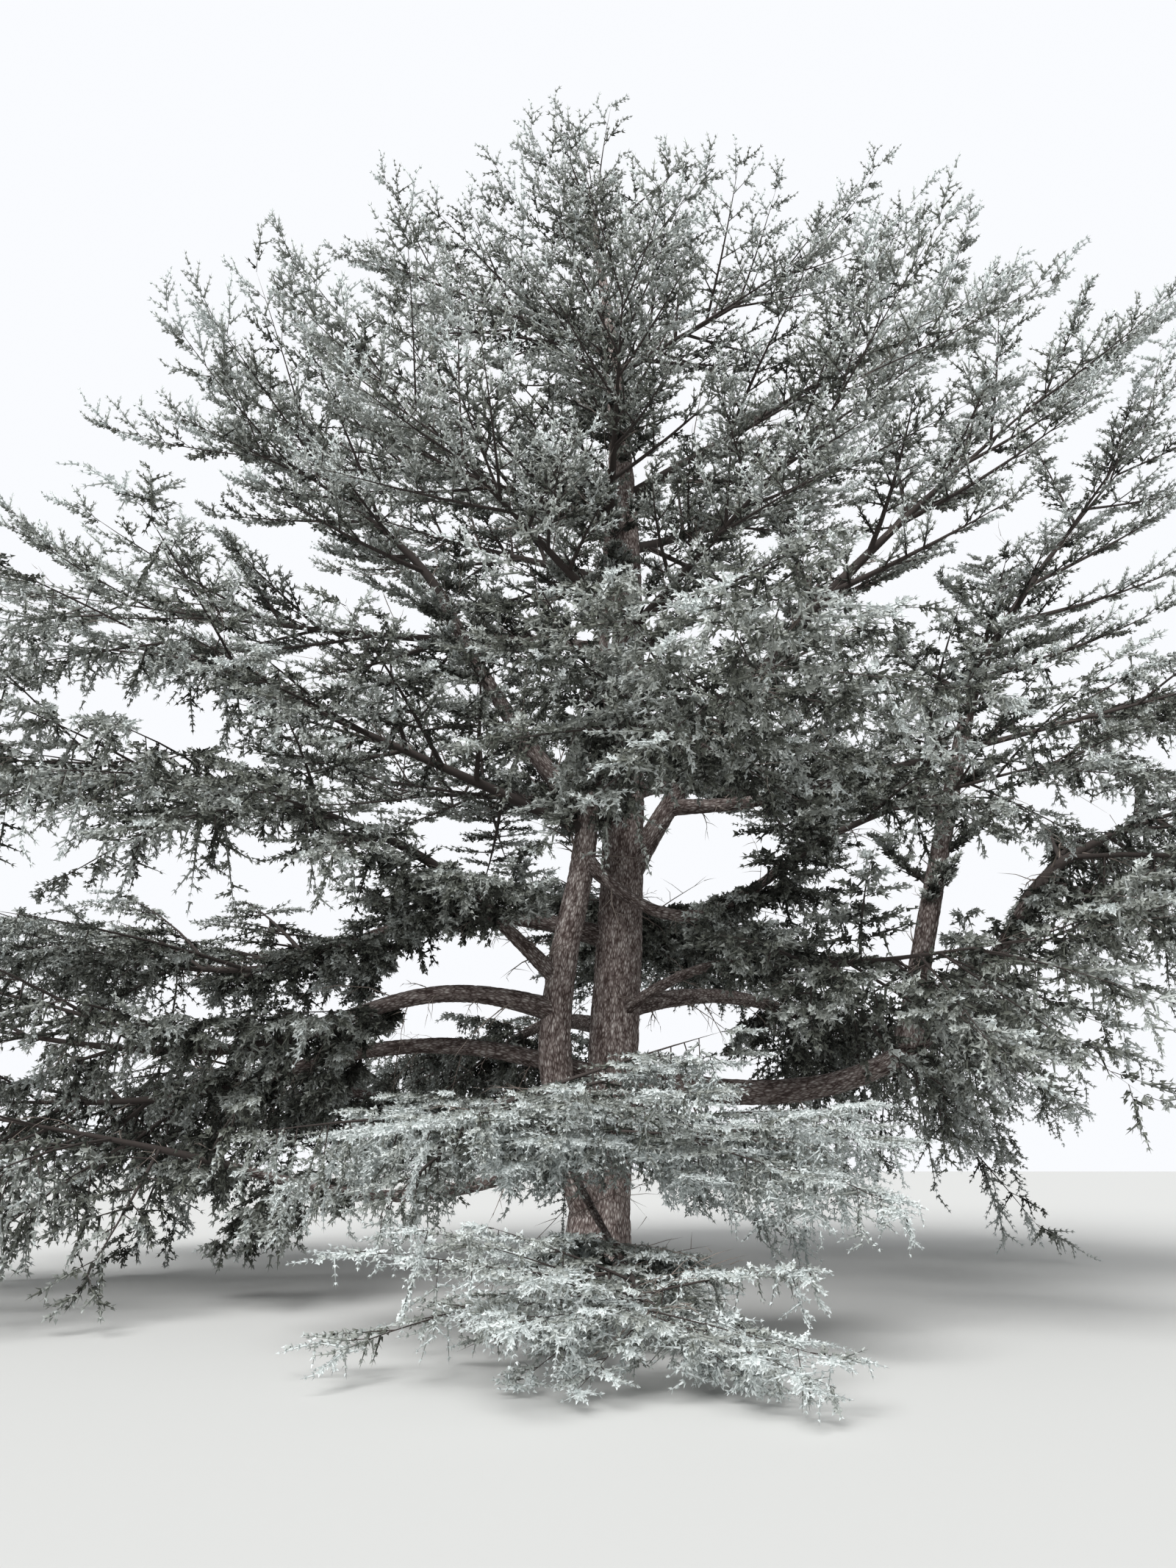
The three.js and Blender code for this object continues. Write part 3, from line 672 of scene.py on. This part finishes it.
def bearing_arc(bearer, at, on_stem):
    """The part of a mass's bough or stem that it clothes too, as an arc."""
    low, high = BEARER_ROOT, 1
    if on_stem:
        reach = np.array([at - CLOTHED_ON_STEM, min(at + CLOTHED_ON_STEM, bearer.high)])
        low, high = (reach - bearer.low) / (bearer.high - bearer.low)
    start, middle, end = bearer.line(np.array([low, (low + high) / 2, high]))
    girth = np.array([bearer.radius(high)])
    return Curves(start[None], (2 * middle - (start + end) / 2)[None], end[None], girth)


class Mass:
    """A mass of foliage: its stem, its habit and the stations that its own space is measured from."""

    def __init__(self, number, name, on, at, habit, azimuth, climb, length, width):
        bearer = limbs[on]
        at_tip = at in (0, bearer.high)
        aim = heading(azimuth, climb)
        away = aim
        if at_tip:
            away = UP if bearer.level else ways_along(bearer.line, np.array([1.0]))[0]
        girth = bearer.radius(1.0) * GIRTH_AT_TIP if at_tip else STEM_ROOT * (1 + length / STEM_THICKER)
        start = bearer.line(1.0) if at_tip else bearer.place(at)
        elbow = start + away * length * STEM_ELBOW
        end = elbow + aim * length * (1 - STEM_ELBOW)
        self.number, self.name, self.habit, self.reach = number, name, HABITS[habit], width / 2
        self.stem = Curves(*(place[None] for place in (start, elbow, end)), np.array([girth]))
        shares = np.array([t for t in STATION_SHARES if at_tip or t > FIRST_ON_STEM])
        own = self.stem.at(np.zeros(len(shares), int), shares)[0] - UP * self.habit["sag"]
        self.bearing = bearing_arc(bearer, at, bearer.high > 1)
        along = np.array(BEARER_SHARES)
        self.stations = np.concatenate([own, self.bearing.at(np.zeros(len(along), int), along)[0]])


masses = [Mass(number, *row) for number, row in enumerate(MASSES)]
print(sum(len(mass.stations) for mass in masses), "stations")

# %% [markdown]
# ## The space of a mass
# Masses don't grow through each other. A place belongs to the mass whose stem, or whose stretch of bough,
# is nearest, which leaves thin seams of sky and shadow between them, as between the shelves of the real
# crown. A twig that would leave its space, touch a limb, reach the ground or pass the model's box is tried
# again shorter, and then left out.

# %% Where a twig may grow
SPACE_GAP = 0.03
LOWEST_LEAF = 0.06
LIMB_STEP = 0.1
LIMB_CLEARANCE = 0.03
SHORTER = (1, 0.78, 0.58)
TIP_SPARE = 0.1
REACH_LOW, REACH_HIGH = np.array(cad_box[0]) - TIP_SPARE, np.array(cad_box[1]) + TIP_SPARE


def limb_samples():
    """Places along every limb, and how far from each no twig may end."""
    places, radii = [], []
    for limb in limbs.values():
        count = int(np.linalg.norm(limb.line(1.0) - limb.line(0.0)) / LIMB_STEP) + 2
        t = np.linspace(0, 1, count)
        places.append(limb.line(t))
        radii.append(limb.radius(t) + LIMB_CLEARANCE)
    return np.concatenate(places), np.concatenate(radii)


def gaps(spots, targets):
    """The distance of every spot to every target."""
    square = (spots**2).sum(1)[:, None] + (targets**2).sum(1)[None] - 2 * spots @ targets.T
    return np.sqrt(square.clip(0))


limb_places, limb_radii = limb_samples()
all_stations = np.concatenate([mass.stations for mass in masses])
station_owners = np.concatenate([[mass.number] * len(mass.stations) for mass in masses])


def may_grow(spots, mass):
    """True for each spot in the mass's own space and the model's box, clear of the limbs and the ground."""
    reach = gaps(spots, all_stations)
    own = reach[:, station_owners == mass.number].min(1)
    others = reach[:, station_owners != mass.number].min(1)
    clear = (gaps(spots, limb_places) > limb_radii).all(1)
    inside = ((spots > REACH_LOW) & (spots < REACH_HIGH)).all(1)
    return (own + SPACE_GAP < others) & clear & inside & (spots[:, 2] > LOWEST_LEAF)


print(len(limb_places), "places along the limbs are kept clear")

# %% [markdown]
# ## Orders of branching
# A crown is one rule applied again and again: branches on the stem, twigs on the branches, and on the
# twigs the short shoots that carry the needles. Each order says how many side twigs there are, where the
# first and last one leave, how far they spread and sway, and how their length changes along the parent.
# Smaller branches on the bearing limb, and dead twigs, are orders too.

# %% Orders
BRANCHES = {
    "count": 20, "first": 0.06, "last": 0.98, "jitter": 0.03, "leave": 1.0, "spread": 14, "roll": 1.0,
    "flat": 0.75, "girth": 0.6, "bow": 1.0, "sway": 0.25, "shortest": 0.7, "strings": 0, "ranks": False,
    "length": (1.35, -0.6),
}
INNER_BRANCHES = BRANCHES | {
    "count": 10, "first": 0.1, "spread": 25, "girth": 0.42, "sway": 0.5, "shortest": 0.5,
    "length": (0.42, 0.3),
}
TWIGS = BRANCHES | {
    "count": 12, "first": 0.14, "jitter": 0.05, "leave": 0.95, "spread": 22, "roll": 0.5, "flat": 0.5,
    "bow": 0.8, "sway": 0.35, "shortest": 0.5, "strings": 1, "ranks": True, "length": (0.46, -0.26),
}
SHOOTS = TWIGS | {
    "count": 6, "first": 0.12, "last": 0.97, "jitter": 0.06, "spread": 28, "roll": 0.8, "girth": 0.7,
    "bow": 0.7, "sway": 0.3, "strings": 0.5, "length": (1, -0.7),
}
DEAD_TWIGS = BRANCHES | {
    "count": 11, "first": 0.03, "last": 0.95, "spread": 30, "flat": 1.0, "girth": 0.19, "bow": 2.2,
    "sway": 0.9, "shortest": 0.35,
}
DEAD_SIDES = DEAD_TWIGS | {"count": 4, "first": 0.25, "girth": 0.6, "ranks": True, "length": (0.6, -0.3)}


def length_share(order, t):
    """How long a side twig is at its parent's share t, as a share of its order's full length."""
    at_root, change = order["length"]
    return at_root + change * t


print("a branch at the tip has", round(length_share(BRANCHES, 1), 2), "of its full length")

# %% [markdown]
# ## How a side twig leaves
# It leaves its parent at an angle, all round it or in two ranks, and more nearly ahead near its tip. It
# then bows to the sky or the ground as its habit says. Some twigs of the weeping habits hang as strings.

# %% Leaving and bowing
NEARER_AHEAD = 0.5
MOST_HANG, STRING_LEAN = 0.6, 0.3
NEARLY_UPRIGHT = 0.15
DOWN = -UP


def right_of(ways):
    """A level direction to the right of each way."""
    side = np.cross(ways, UP)
    side[np.linalg.norm(side, axis=-1) < NEARLY_UPRIGHT] = RIGHT
    return unit(side)


def leaving_ways(ways, number, t, habit, order, draws):
    """The directions of side twigs that leave their parents where those go these ways."""
    side = right_of(ways)
    over = np.cross(side, ways)
    turn = number * (180 if order["ranks"] else habit["turn"])
    roll = np.radians(turn + habit["roll"] * order["roll"] * draws.uniform(-1, 1, len(ways)))
    lean = habit["leave"] * order["leave"] * (1 - NEARER_AHEAD * t**2)
    leave = np.radians(lean + order["spread"] * draws.uniform(-1, 1, len(ways)))
    way = ways * np.cos(leave)[:, None]
    way += side * (np.sin(leave) * np.cos(roll))[:, None]
    way += over * (np.sin(leave) * np.sin(roll))[:, None]
    drop = habit["hang"] * draws.uniform(0, MOST_HANG, len(ways))
    way[:, 2] = way[:, 2] * order["flat"] + habit["lift"] - drop
    hanging = draws.uniform(0, 1, len(ways)) < habit["strings"] * order["strings"]
    way[hanging] = way[hanging] * STRING_LEAN + DOWN
    return unit(way)


def bowed(start, way, length, turn):
    """Arcs that set out one way and are turned over their second half."""
    half = (length / 2)[:, None]
    elbow = start + way * half
    return start, elbow, elbow + unit(way + turn) * half


print("a string leans by up to", round(math.degrees(math.asin(STRING_LEAN))), "degrees from straight down")

# %% [markdown]
# ## Growing one order
# Side twigs are dealt out evenly along their parent, with a little chance, and each is tried at three
# lengths. All side twigs of an order grow at once. One by one, a crown of ninety thousand shoots would
# take minutes.

# %% Growth
FULL_REACH = 3
LEAST_COUNT = 4
NEAREST_ROOT = 0.02
LONGEST = 1.15
LEAST_FALL = 0.3
GIRTH_LOST = 0.8
THINNEST = 0.003


def shortened(start, way, length, turn, mass):
    """The lengths at which the twigs fit in the mass's space, and which of them fit at all."""
    fitting, kept = length.copy(), np.zeros(len(length), bool)
    for share in SHORTER:
        _, elbow, end = bowed(start, way, length * share, turn)
        fits = ~kept & may_grow(elbow, mass) & may_grow(end, mass)
        fitting[fits] *= share
        kept |= fits
    return fitting, kept


def grow(parents, order, mass, length_of, draws):
    """The side twigs of every parent that fit in the mass's space. Also each one's parent and share."""
    count = max(LEAST_COUNT, round(order["count"] * mass.habit["fullness"] * mass.reach / FULL_REACH))
    parent = np.repeat(np.arange(len(parents.start)), count)
    number = np.tile(np.arange(count), len(parents.start))
    spread = (order["last"] - order["first"]) / (count - 1)
    t = order["first"] + spread * number + draws.uniform(-1, 1, len(number)) * order["jitter"]
    t = t.clip(NEAREST_ROOT, 1)
    start, ways = parents.at(parent, t)
    way = leaving_ways(ways, number, t, mass.habit, order, draws)
    length = length_of(parent, t) * draws.uniform(order["shortest"], LONGEST, len(t))
    fall = (mass.habit["lift"] - mass.habit["hang"] * draws.uniform(LEAST_FALL, 1, len(t))) * order["bow"]
    turn = UP * fall[:, None] + right_of(way) * order["sway"] * draws.uniform(-1, 1, len(t))[:, None]
    length, kept = shortened(start, way, length, turn, mass)
    girth = parents.girth[parent] * (1 - GIRTH_LOST * t) * order["girth"]
    twigs = Curves(*bowed(start, way, length, turn), girth.clip(THINNEST))
    return twigs.pick(kept), parent[kept], t[kept]


print("lengths tried for every twig:", SHORTER)

# %% [markdown]
# ## Growing every mass
# A mass takes three orders, and smaller branches on its bearing limb. The outer part of each twig is
# clothed in needles too, and counts as a shoot. How far out a shoot sits, from 0 deep inside to 1 at the
# rim, is kept, because the size and tone of its needles depend on it.

# %% Branches, twigs and shoots
GROWTH_SEED = 1000
SHOOT_LEAST, SHOOT_SHARE = 0.15, 0.38
TWIG_CLOTHED_FROM = 0.35
OUTWARD = {"stem": 0.25, "branch": 0.4, "twig": 0.35, "clothed": 0.25}
# the inner branches on the bearing limb count as deeper than any on the stem, so their needles are larger and
# take darker tones, which is painted shade
INNER_SHADE = -0.1


def grow_branches(mass, draws):
    """The branches of a mass, on its stem and on the limb that bears it, and how far out each leaves."""
    branches, _, along_stem = grow(
        mass.stem, BRANCHES, mass, lambda parent, t: mass.reach * length_share(BRANCHES, t), draws)
    bearing = mass.bearing.after(mass.habit["bare"])
    inner, _, _ = grow(
        bearing, INNER_BRANCHES, mass, lambda parent, t: mass.reach * length_share(INNER_BRANCHES, t), draws)
    return branches.with_others(inner), np.concatenate([along_stem, np.full(len(inner.start), INNER_SHADE)])


def grow_mass(mass):
    """The branches, twigs and shoots of a mass, how far out each shoot sits, and its twig's number."""
    draws = np.random.default_rng(GROWTH_SEED + mass.number)
    branches, along_stem = grow_branches(mass, draws)
    lengths = branches.lengths()
    twigs, branch, along_branch = grow(
        branches, TWIGS, mass, lambda parent, t: lengths[parent] * length_share(TWIGS, t), draws)
    full_shoots = SHOOT_SHARE * twigs.lengths()
    shoots, twig, along_twig = grow(
        twigs, SHOOTS, mass,
        lambda parent, t: SHOOT_LEAST + full_shoots[parent] * length_share(SHOOTS, t), draws)
    twig_out = OUTWARD["stem"] * along_stem[branch] + OUTWARD["branch"] * along_branch
    on_twigs = twig_out[twig] + OUTWARD["twig"] * along_twig
    outward = np.concatenate([on_twigs, twig_out + OUTWARD["clothed"]]).clip(0, 1)
    shoots = shoots.with_others(twigs.after(TWIG_CLOTHED_FROM))
    return branches, twigs, shoots, outward, np.concatenate([twig, np.arange(len(twigs.start))])


grown = [grow_mass(mass) for mass in masses]
shoot_count = sum(len(shoots.start) for _, _, shoots, _, _ in grown)
print(sum(len(twigs.start) for _, twigs, _, _, _ in grown), "twigs and", shoot_count, "shoots")

# %% [markdown]
# ## Rings and lists of triangles
# Shoots and twigs alike are rings of points round an arc, joined by triangles. There are too many for a
# modelling operator each, so one shoot's triangles are listed once and repeated for all shoots like it.

# %% Meshes from arrays
def rings_round(curves, t, radius, phase, sides):
    """Rings of points round every curve, at shares t, with their centres and directions."""
    count = len(curves.start)
    number = np.repeat(np.arange(count), len(t)).reshape(count, len(t))
    centre, way = curves.at(number, np.broadcast_to(t, number.shape))
    side = right_of(way)
    over = np.cross(side, way)
    angle = phase[..., None] + np.arange(sides) * 2 * math.pi / sides
    angle = np.broadcast_to(angle, (*number.shape, sides))[..., None]
    out = side[:, :, None] * np.cos(angle) + over[:, :, None] * np.sin(angle)
    return centre, way, side, over, centre[:, :, None] + out * radius[..., None, None]


def following(corner, sides):
    """The next corner round the same ring."""
    return corner - corner % sides + (corner + 1) % sides


def for_each(one, points):
    """The triangles of one thing repeated for every row of points, and the points as one list."""
    count, points_each = points.shape[:2]
    triangles = one[None] + (np.arange(count) * points_each)[:, None, None]
    return points.reshape(-1, 3), triangles.reshape(-1, 3)


def joined(parts):
    """Points and triangles of several parts as one."""
    points, triangles, before = [], [], 0
    for part_points, part_triangles in parts:
        points.append(part_points)
        triangles.append(part_triangles + before)
        before += len(part_points)
    return np.concatenate(points), np.concatenate(triangles)


def array_mesh(name, points, triangles, tones=None):
    """A mesh of these triangles. The tones are the numbers of their materials."""
    mesh = bpy.data.meshes.new(name)
    mesh.vertices.add(len(points))
    mesh.vertices.foreach_set("co", points.astype(np.float32).ravel())
    mesh.loops.add(triangles.size)
    mesh.loops.foreach_set("vertex_index", triangles.astype(np.int32).ravel())
    mesh.polygons.add(len(triangles))
    mesh.polygons.foreach_set("loop_start", np.arange(0, triangles.size, 3, dtype=np.int32))
    if tones is not None:
        mesh.polygons.foreach_set("material_index", tones.astype(np.int32))
    mesh.update(calc_edges=True)
    return mesh


print("the next corners round two rings of three:", following(np.arange(6), 3))

# %% [markdown]
# ## Shoots clothed in needles
# A cedar's needles stand in small rosettes, close together on short spurs all along a shoot, so that the
# shoot looks like a frosted rope. Each shoot here is a slim three-sided core with rosettes of three
# pointed teeth, every rosette turned a sixth from the last. A tooth stands for a tuft of needles. Three
# share their corners and close round the core like a collar. Inside the crown they are larger and fewer
# than at its rim, where they show.

# %% Shoots
ROSETTE_STEP = 0.078
FEWEST, MOST = 2, 12
SIDES = 3
RING_RADIUS = 0.03
CORE_SHARE = 0.5
TOOTH_REACH = 0.05
TOOTH_LEAN = 0.036
FIRST_ROSETTE = 0.1
RING_SHRINKS, TOOTH_SHRINKS = 0.5, 0.35
TOOTH_CHANCE = (0.7, 1.25)
ANY_TURN = 6
INNER_SIZE, OUTER_SIZE = 1.6, 0.8


def rope_triangles(rosettes):
    """One shoot's triangles, by its points' order: the rings, the tips of teeth, the core and its end."""
    corner = np.arange(rosettes * SIDES)
    teeth = np.stack([corner, following(corner, SIDES), corner + rosettes * SIDES], -1)
    core = corner[:SIDES] + 2 * rosettes * SIDES
    body = np.stack([core, following(core, SIDES), np.full(SIDES, core[-1] + 1)], -1)
    return np.concatenate([teeth, body])


def rope_arrays(shoots, rosettes, size, draws):
    """Points and triangles of shoots with this many rosettes each."""
    count = len(shoots.start)
    t = (np.arange(rosettes) + FIRST_ROSETTE) / rosettes
    phase = np.arange(rosettes) * math.pi / SIDES + draws.uniform(0, ANY_TURN, (count, 1))
    radius = RING_RADIUS * size[:, None] * (1 - RING_SHRINKS * t)
    centre, way, side, over, rings = rings_round(shoots, t, radius, phase, SIDES)
    angle = phase[..., None] + (np.arange(SIDES) + 0.5) * 2 * math.pi / SIDES
    chance = draws.uniform(*TOOTH_CHANCE, (count, rosettes, SIDES))
    reach = TOOTH_REACH * (1 - TOOTH_SHRINKS * t)[:, None] * chance
    out = side[:, :, None] * np.cos(angle)[..., None] + over[:, :, None] * np.sin(angle)[..., None]
    tooth = way[:, :, None] * TOOTH_LEAN + out * reach[..., None]
    tips = centre[:, :, None] + tooth * size[:, None, None, None]
    foot = centre[:, 0, None]
    core = foot + (rings[:, 0] - foot) * CORE_SHARE
    points = np.concatenate([
        rings.reshape(count, -1, 3), tips.reshape(count, -1, 3), core, shoots.end[:, None],
    ], axis=1)
    return for_each(rope_triangles(rosettes), points)


print("the longest shoot has", len(rope_triangles(MOST)), "triangles")

# %% [markdown]
# ## Needle tones
# The silver bloom is strongest on the young outer shoots and wears off inside the crown, where the
# needles are grey green. Deep inside they are darkened further, which is painted shade for the crown's own
# shadow. Each rosette gets one of five plain tones, by its habit, by how far out its shoot sits, by the
# chance of its twig and its shoot, and by its place on the shoot, which lightens to its tip.

# %% Needle tones
TONES = {
    "needles_shaded": (0.028, 0.03, 0.023),
    "needles_green": (0.115, 0.123, 0.102),
    "needles_blue": (0.27, 0.285, 0.261),
    "needles_silver": (0.46, 0.486, 0.464),
    "needles_frosted": (0.66, 0.703, 0.694),
}
TIP_LIGHTER, EVEN_AT = 1.5, 0.35
# how much lighter a shoot is towards the rim: partly its silver bloom, partly painted shade deep inside
LIGHTER_OUTWARD = 3.9
BY_TWIG, BY_SHOOT = (-1.5, 1.3), (-0.7, 0.7)
TONE_SEED = 2000
tone_materials = [plain_material(name, (*color, 1), roughness=0.7) for name, color in TONES.items()]


def rope_tones(tone, rosettes):
    """The tones of a rope's triangles, which lighten to its tip. The core is as dark as the root."""
    along = np.append(np.arange(rosettes) / rosettes, 0)
    each = tone[:, None] + TIP_LIGHTER * (along - EVEN_AT)
    return np.repeat(each.round().clip(0, len(TONES) - 1), SIDES, axis=1).ravel()


def dress_mass(mass, branches, twigs, shoots, outward, twig):
    draws = np.random.default_rng(TONE_SEED + mass.number)
    by_twig = draws.uniform(*BY_TWIG, len(twigs.start))[twig]
    by_shoot = draws.uniform(*BY_SHOOT, len(outward))
    # the tone is the habit's bloom with painted light, lighter outward (young silver shoots, with painted
    # shade deep inside), and chance by twig and shoot
    tone = mass.habit["bloom_and_painted_light"] + LIGHTER_OUTWARD * outward + by_twig + by_shoot
    size = mass.habit["needle"] * (INNER_SIZE + (OUTER_SIZE - INNER_SIZE) * outward)
    rosettes = (shoots.lengths() / (ROSETTE_STEP * size)).round().clip(FEWEST, MOST).astype(int)
    ropes, tones = [], []
    for count in np.unique(rosettes):
        alike = rosettes == count
        ropes.append(rope_arrays(shoots.pick(alike), count, size[alike], draws))
        tones.append(rope_tones(tone[alike], count))
    points, triangles = joined(ropes)
    mesh = array_mesh(mass.name + "_needles", points, triangles, np.concatenate(tones))
    piece = mesh_object(mass.name + "_needles", mesh, tone_materials)
    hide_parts("foliage_" + mass.name)
    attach(piece, "root")
    return len(triangles)


needle_faces = sum(dress_mass(mass, *parts) for mass, parts in zip(masses, grown))
print("needles:", needle_faces, "triangles")

# %% [markdown]
# ## Twigs
# Every stem, branch and twig is a tapering tube that ends in a point. Its root is sunk in its parent.
# The stem that goes on from a bough is the thickest, so it has the most sides.

# %% Twigs
TWIG_END = 0.0015
# the sides and rings of each kind of tube
STEM_TUBE, BRANCH_TUBE, TWIG_TUBE = (9, 14), (5, 5), (3, 2)
TWIG_COLOR = (0.05, 0.039, 0.035, 1)


def tube_triangles(sides, rings):
    """One tube's triangles, by its points' order: the rings and the end."""
    corner = np.arange(rings * sides)
    low, last = corner[:-sides], corner[-sides:]
    low_next, last_next = following(low, sides), following(last, sides)
    return np.concatenate([
        np.stack([low, low_next, low_next + sides], -1),
        np.stack([low, low_next + sides, low + sides], -1),
        np.stack([last, last_next, np.full(sides, rings * sides)], -1),
    ])


def tube_arrays(curves, sides, rings):
    """Points and triangles of tapering tubes along curves, each closed by a point at its end."""
    t = np.linspace(0, 1, rings + 1)[:-1]
    radius = curves.girth[:, None] * (1 - t) + TWIG_END
    *_, spots = rings_round(curves, t, radius, np.zeros(rings), sides)
    points = np.concatenate([spots.reshape(len(spots), -1, 3), curves.end[:, None]], axis=1)
    return for_each(tube_triangles(sides, rings), points)


twig_wood = plain_material("twig_wood", TWIG_COLOR, roughness=0.9)


def add_twigs(mass, branches, twigs, *_):
    points, triangles = joined([
        tube_arrays(mass.stem, *STEM_TUBE),
        tube_arrays(branches, *BRANCH_TUBE),
        tube_arrays(twigs, *TWIG_TUBE),
    ])
    name = mass.name + "_twigs"
    piece = mesh_object(name, array_mesh(name, points, triangles), [twig_wood])
    piece.data.shade_smooth()
    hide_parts("foliage_" + mass.name)
    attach(piece, "root")
    return len(triangles)


print("twigs:", sum(add_twigs(mass, *parts) for mass, parts in zip(masses, grown)), "triangles")

# %% [markdown]
# ## Dead twigs
# Where the crown shades itself, its small twigs die and stay on for years, bare, crooked and pale. They
# grow by the same rule, from the boughs and from the stems of the masses, and fill the inside of the
# crown with fine lines.

# %% Dead twigs
DEAD_SEED = 3000
DEAD_LEAST, DEAD_CHANCE = 0.4, 1.3
DEAD_TUBE = (3, 3)
DEAD_COLOR = (0.24, 0.2, 0.175, 1)

dead_wood = plain_material("dead_wood", DEAD_COLOR, roughness=0.9)


def dead_twigs(mass):
    draws = np.random.default_rng(DEAD_SEED + mass.number)
    parents = mass.bearing.with_others(mass.stem)
    twigs, _, _ = grow(
        parents, DEAD_TWIGS, mass,
        lambda parent, t: DEAD_LEAST + DEAD_CHANCE * draws.uniform(0, 1, len(t)), draws)
    lengths = twigs.lengths()
    sides, _, _ = grow(
        twigs, DEAD_SIDES, mass, lambda parent, t: lengths[parent] * length_share(DEAD_SIDES, t), draws)
    return joined([tube_arrays(twigs, *DEAD_TUBE), tube_arrays(sides, *TWIG_TUBE)])


points, triangles = joined([dead_twigs(mass) for mass in masses])
piece = mesh_object("dead_twigs", array_mesh("dead_twigs", points, triangles), [dead_wood])
piece.data.shade_smooth()
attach(piece, "root")
print("dead twigs:", len(triangles), "triangles")
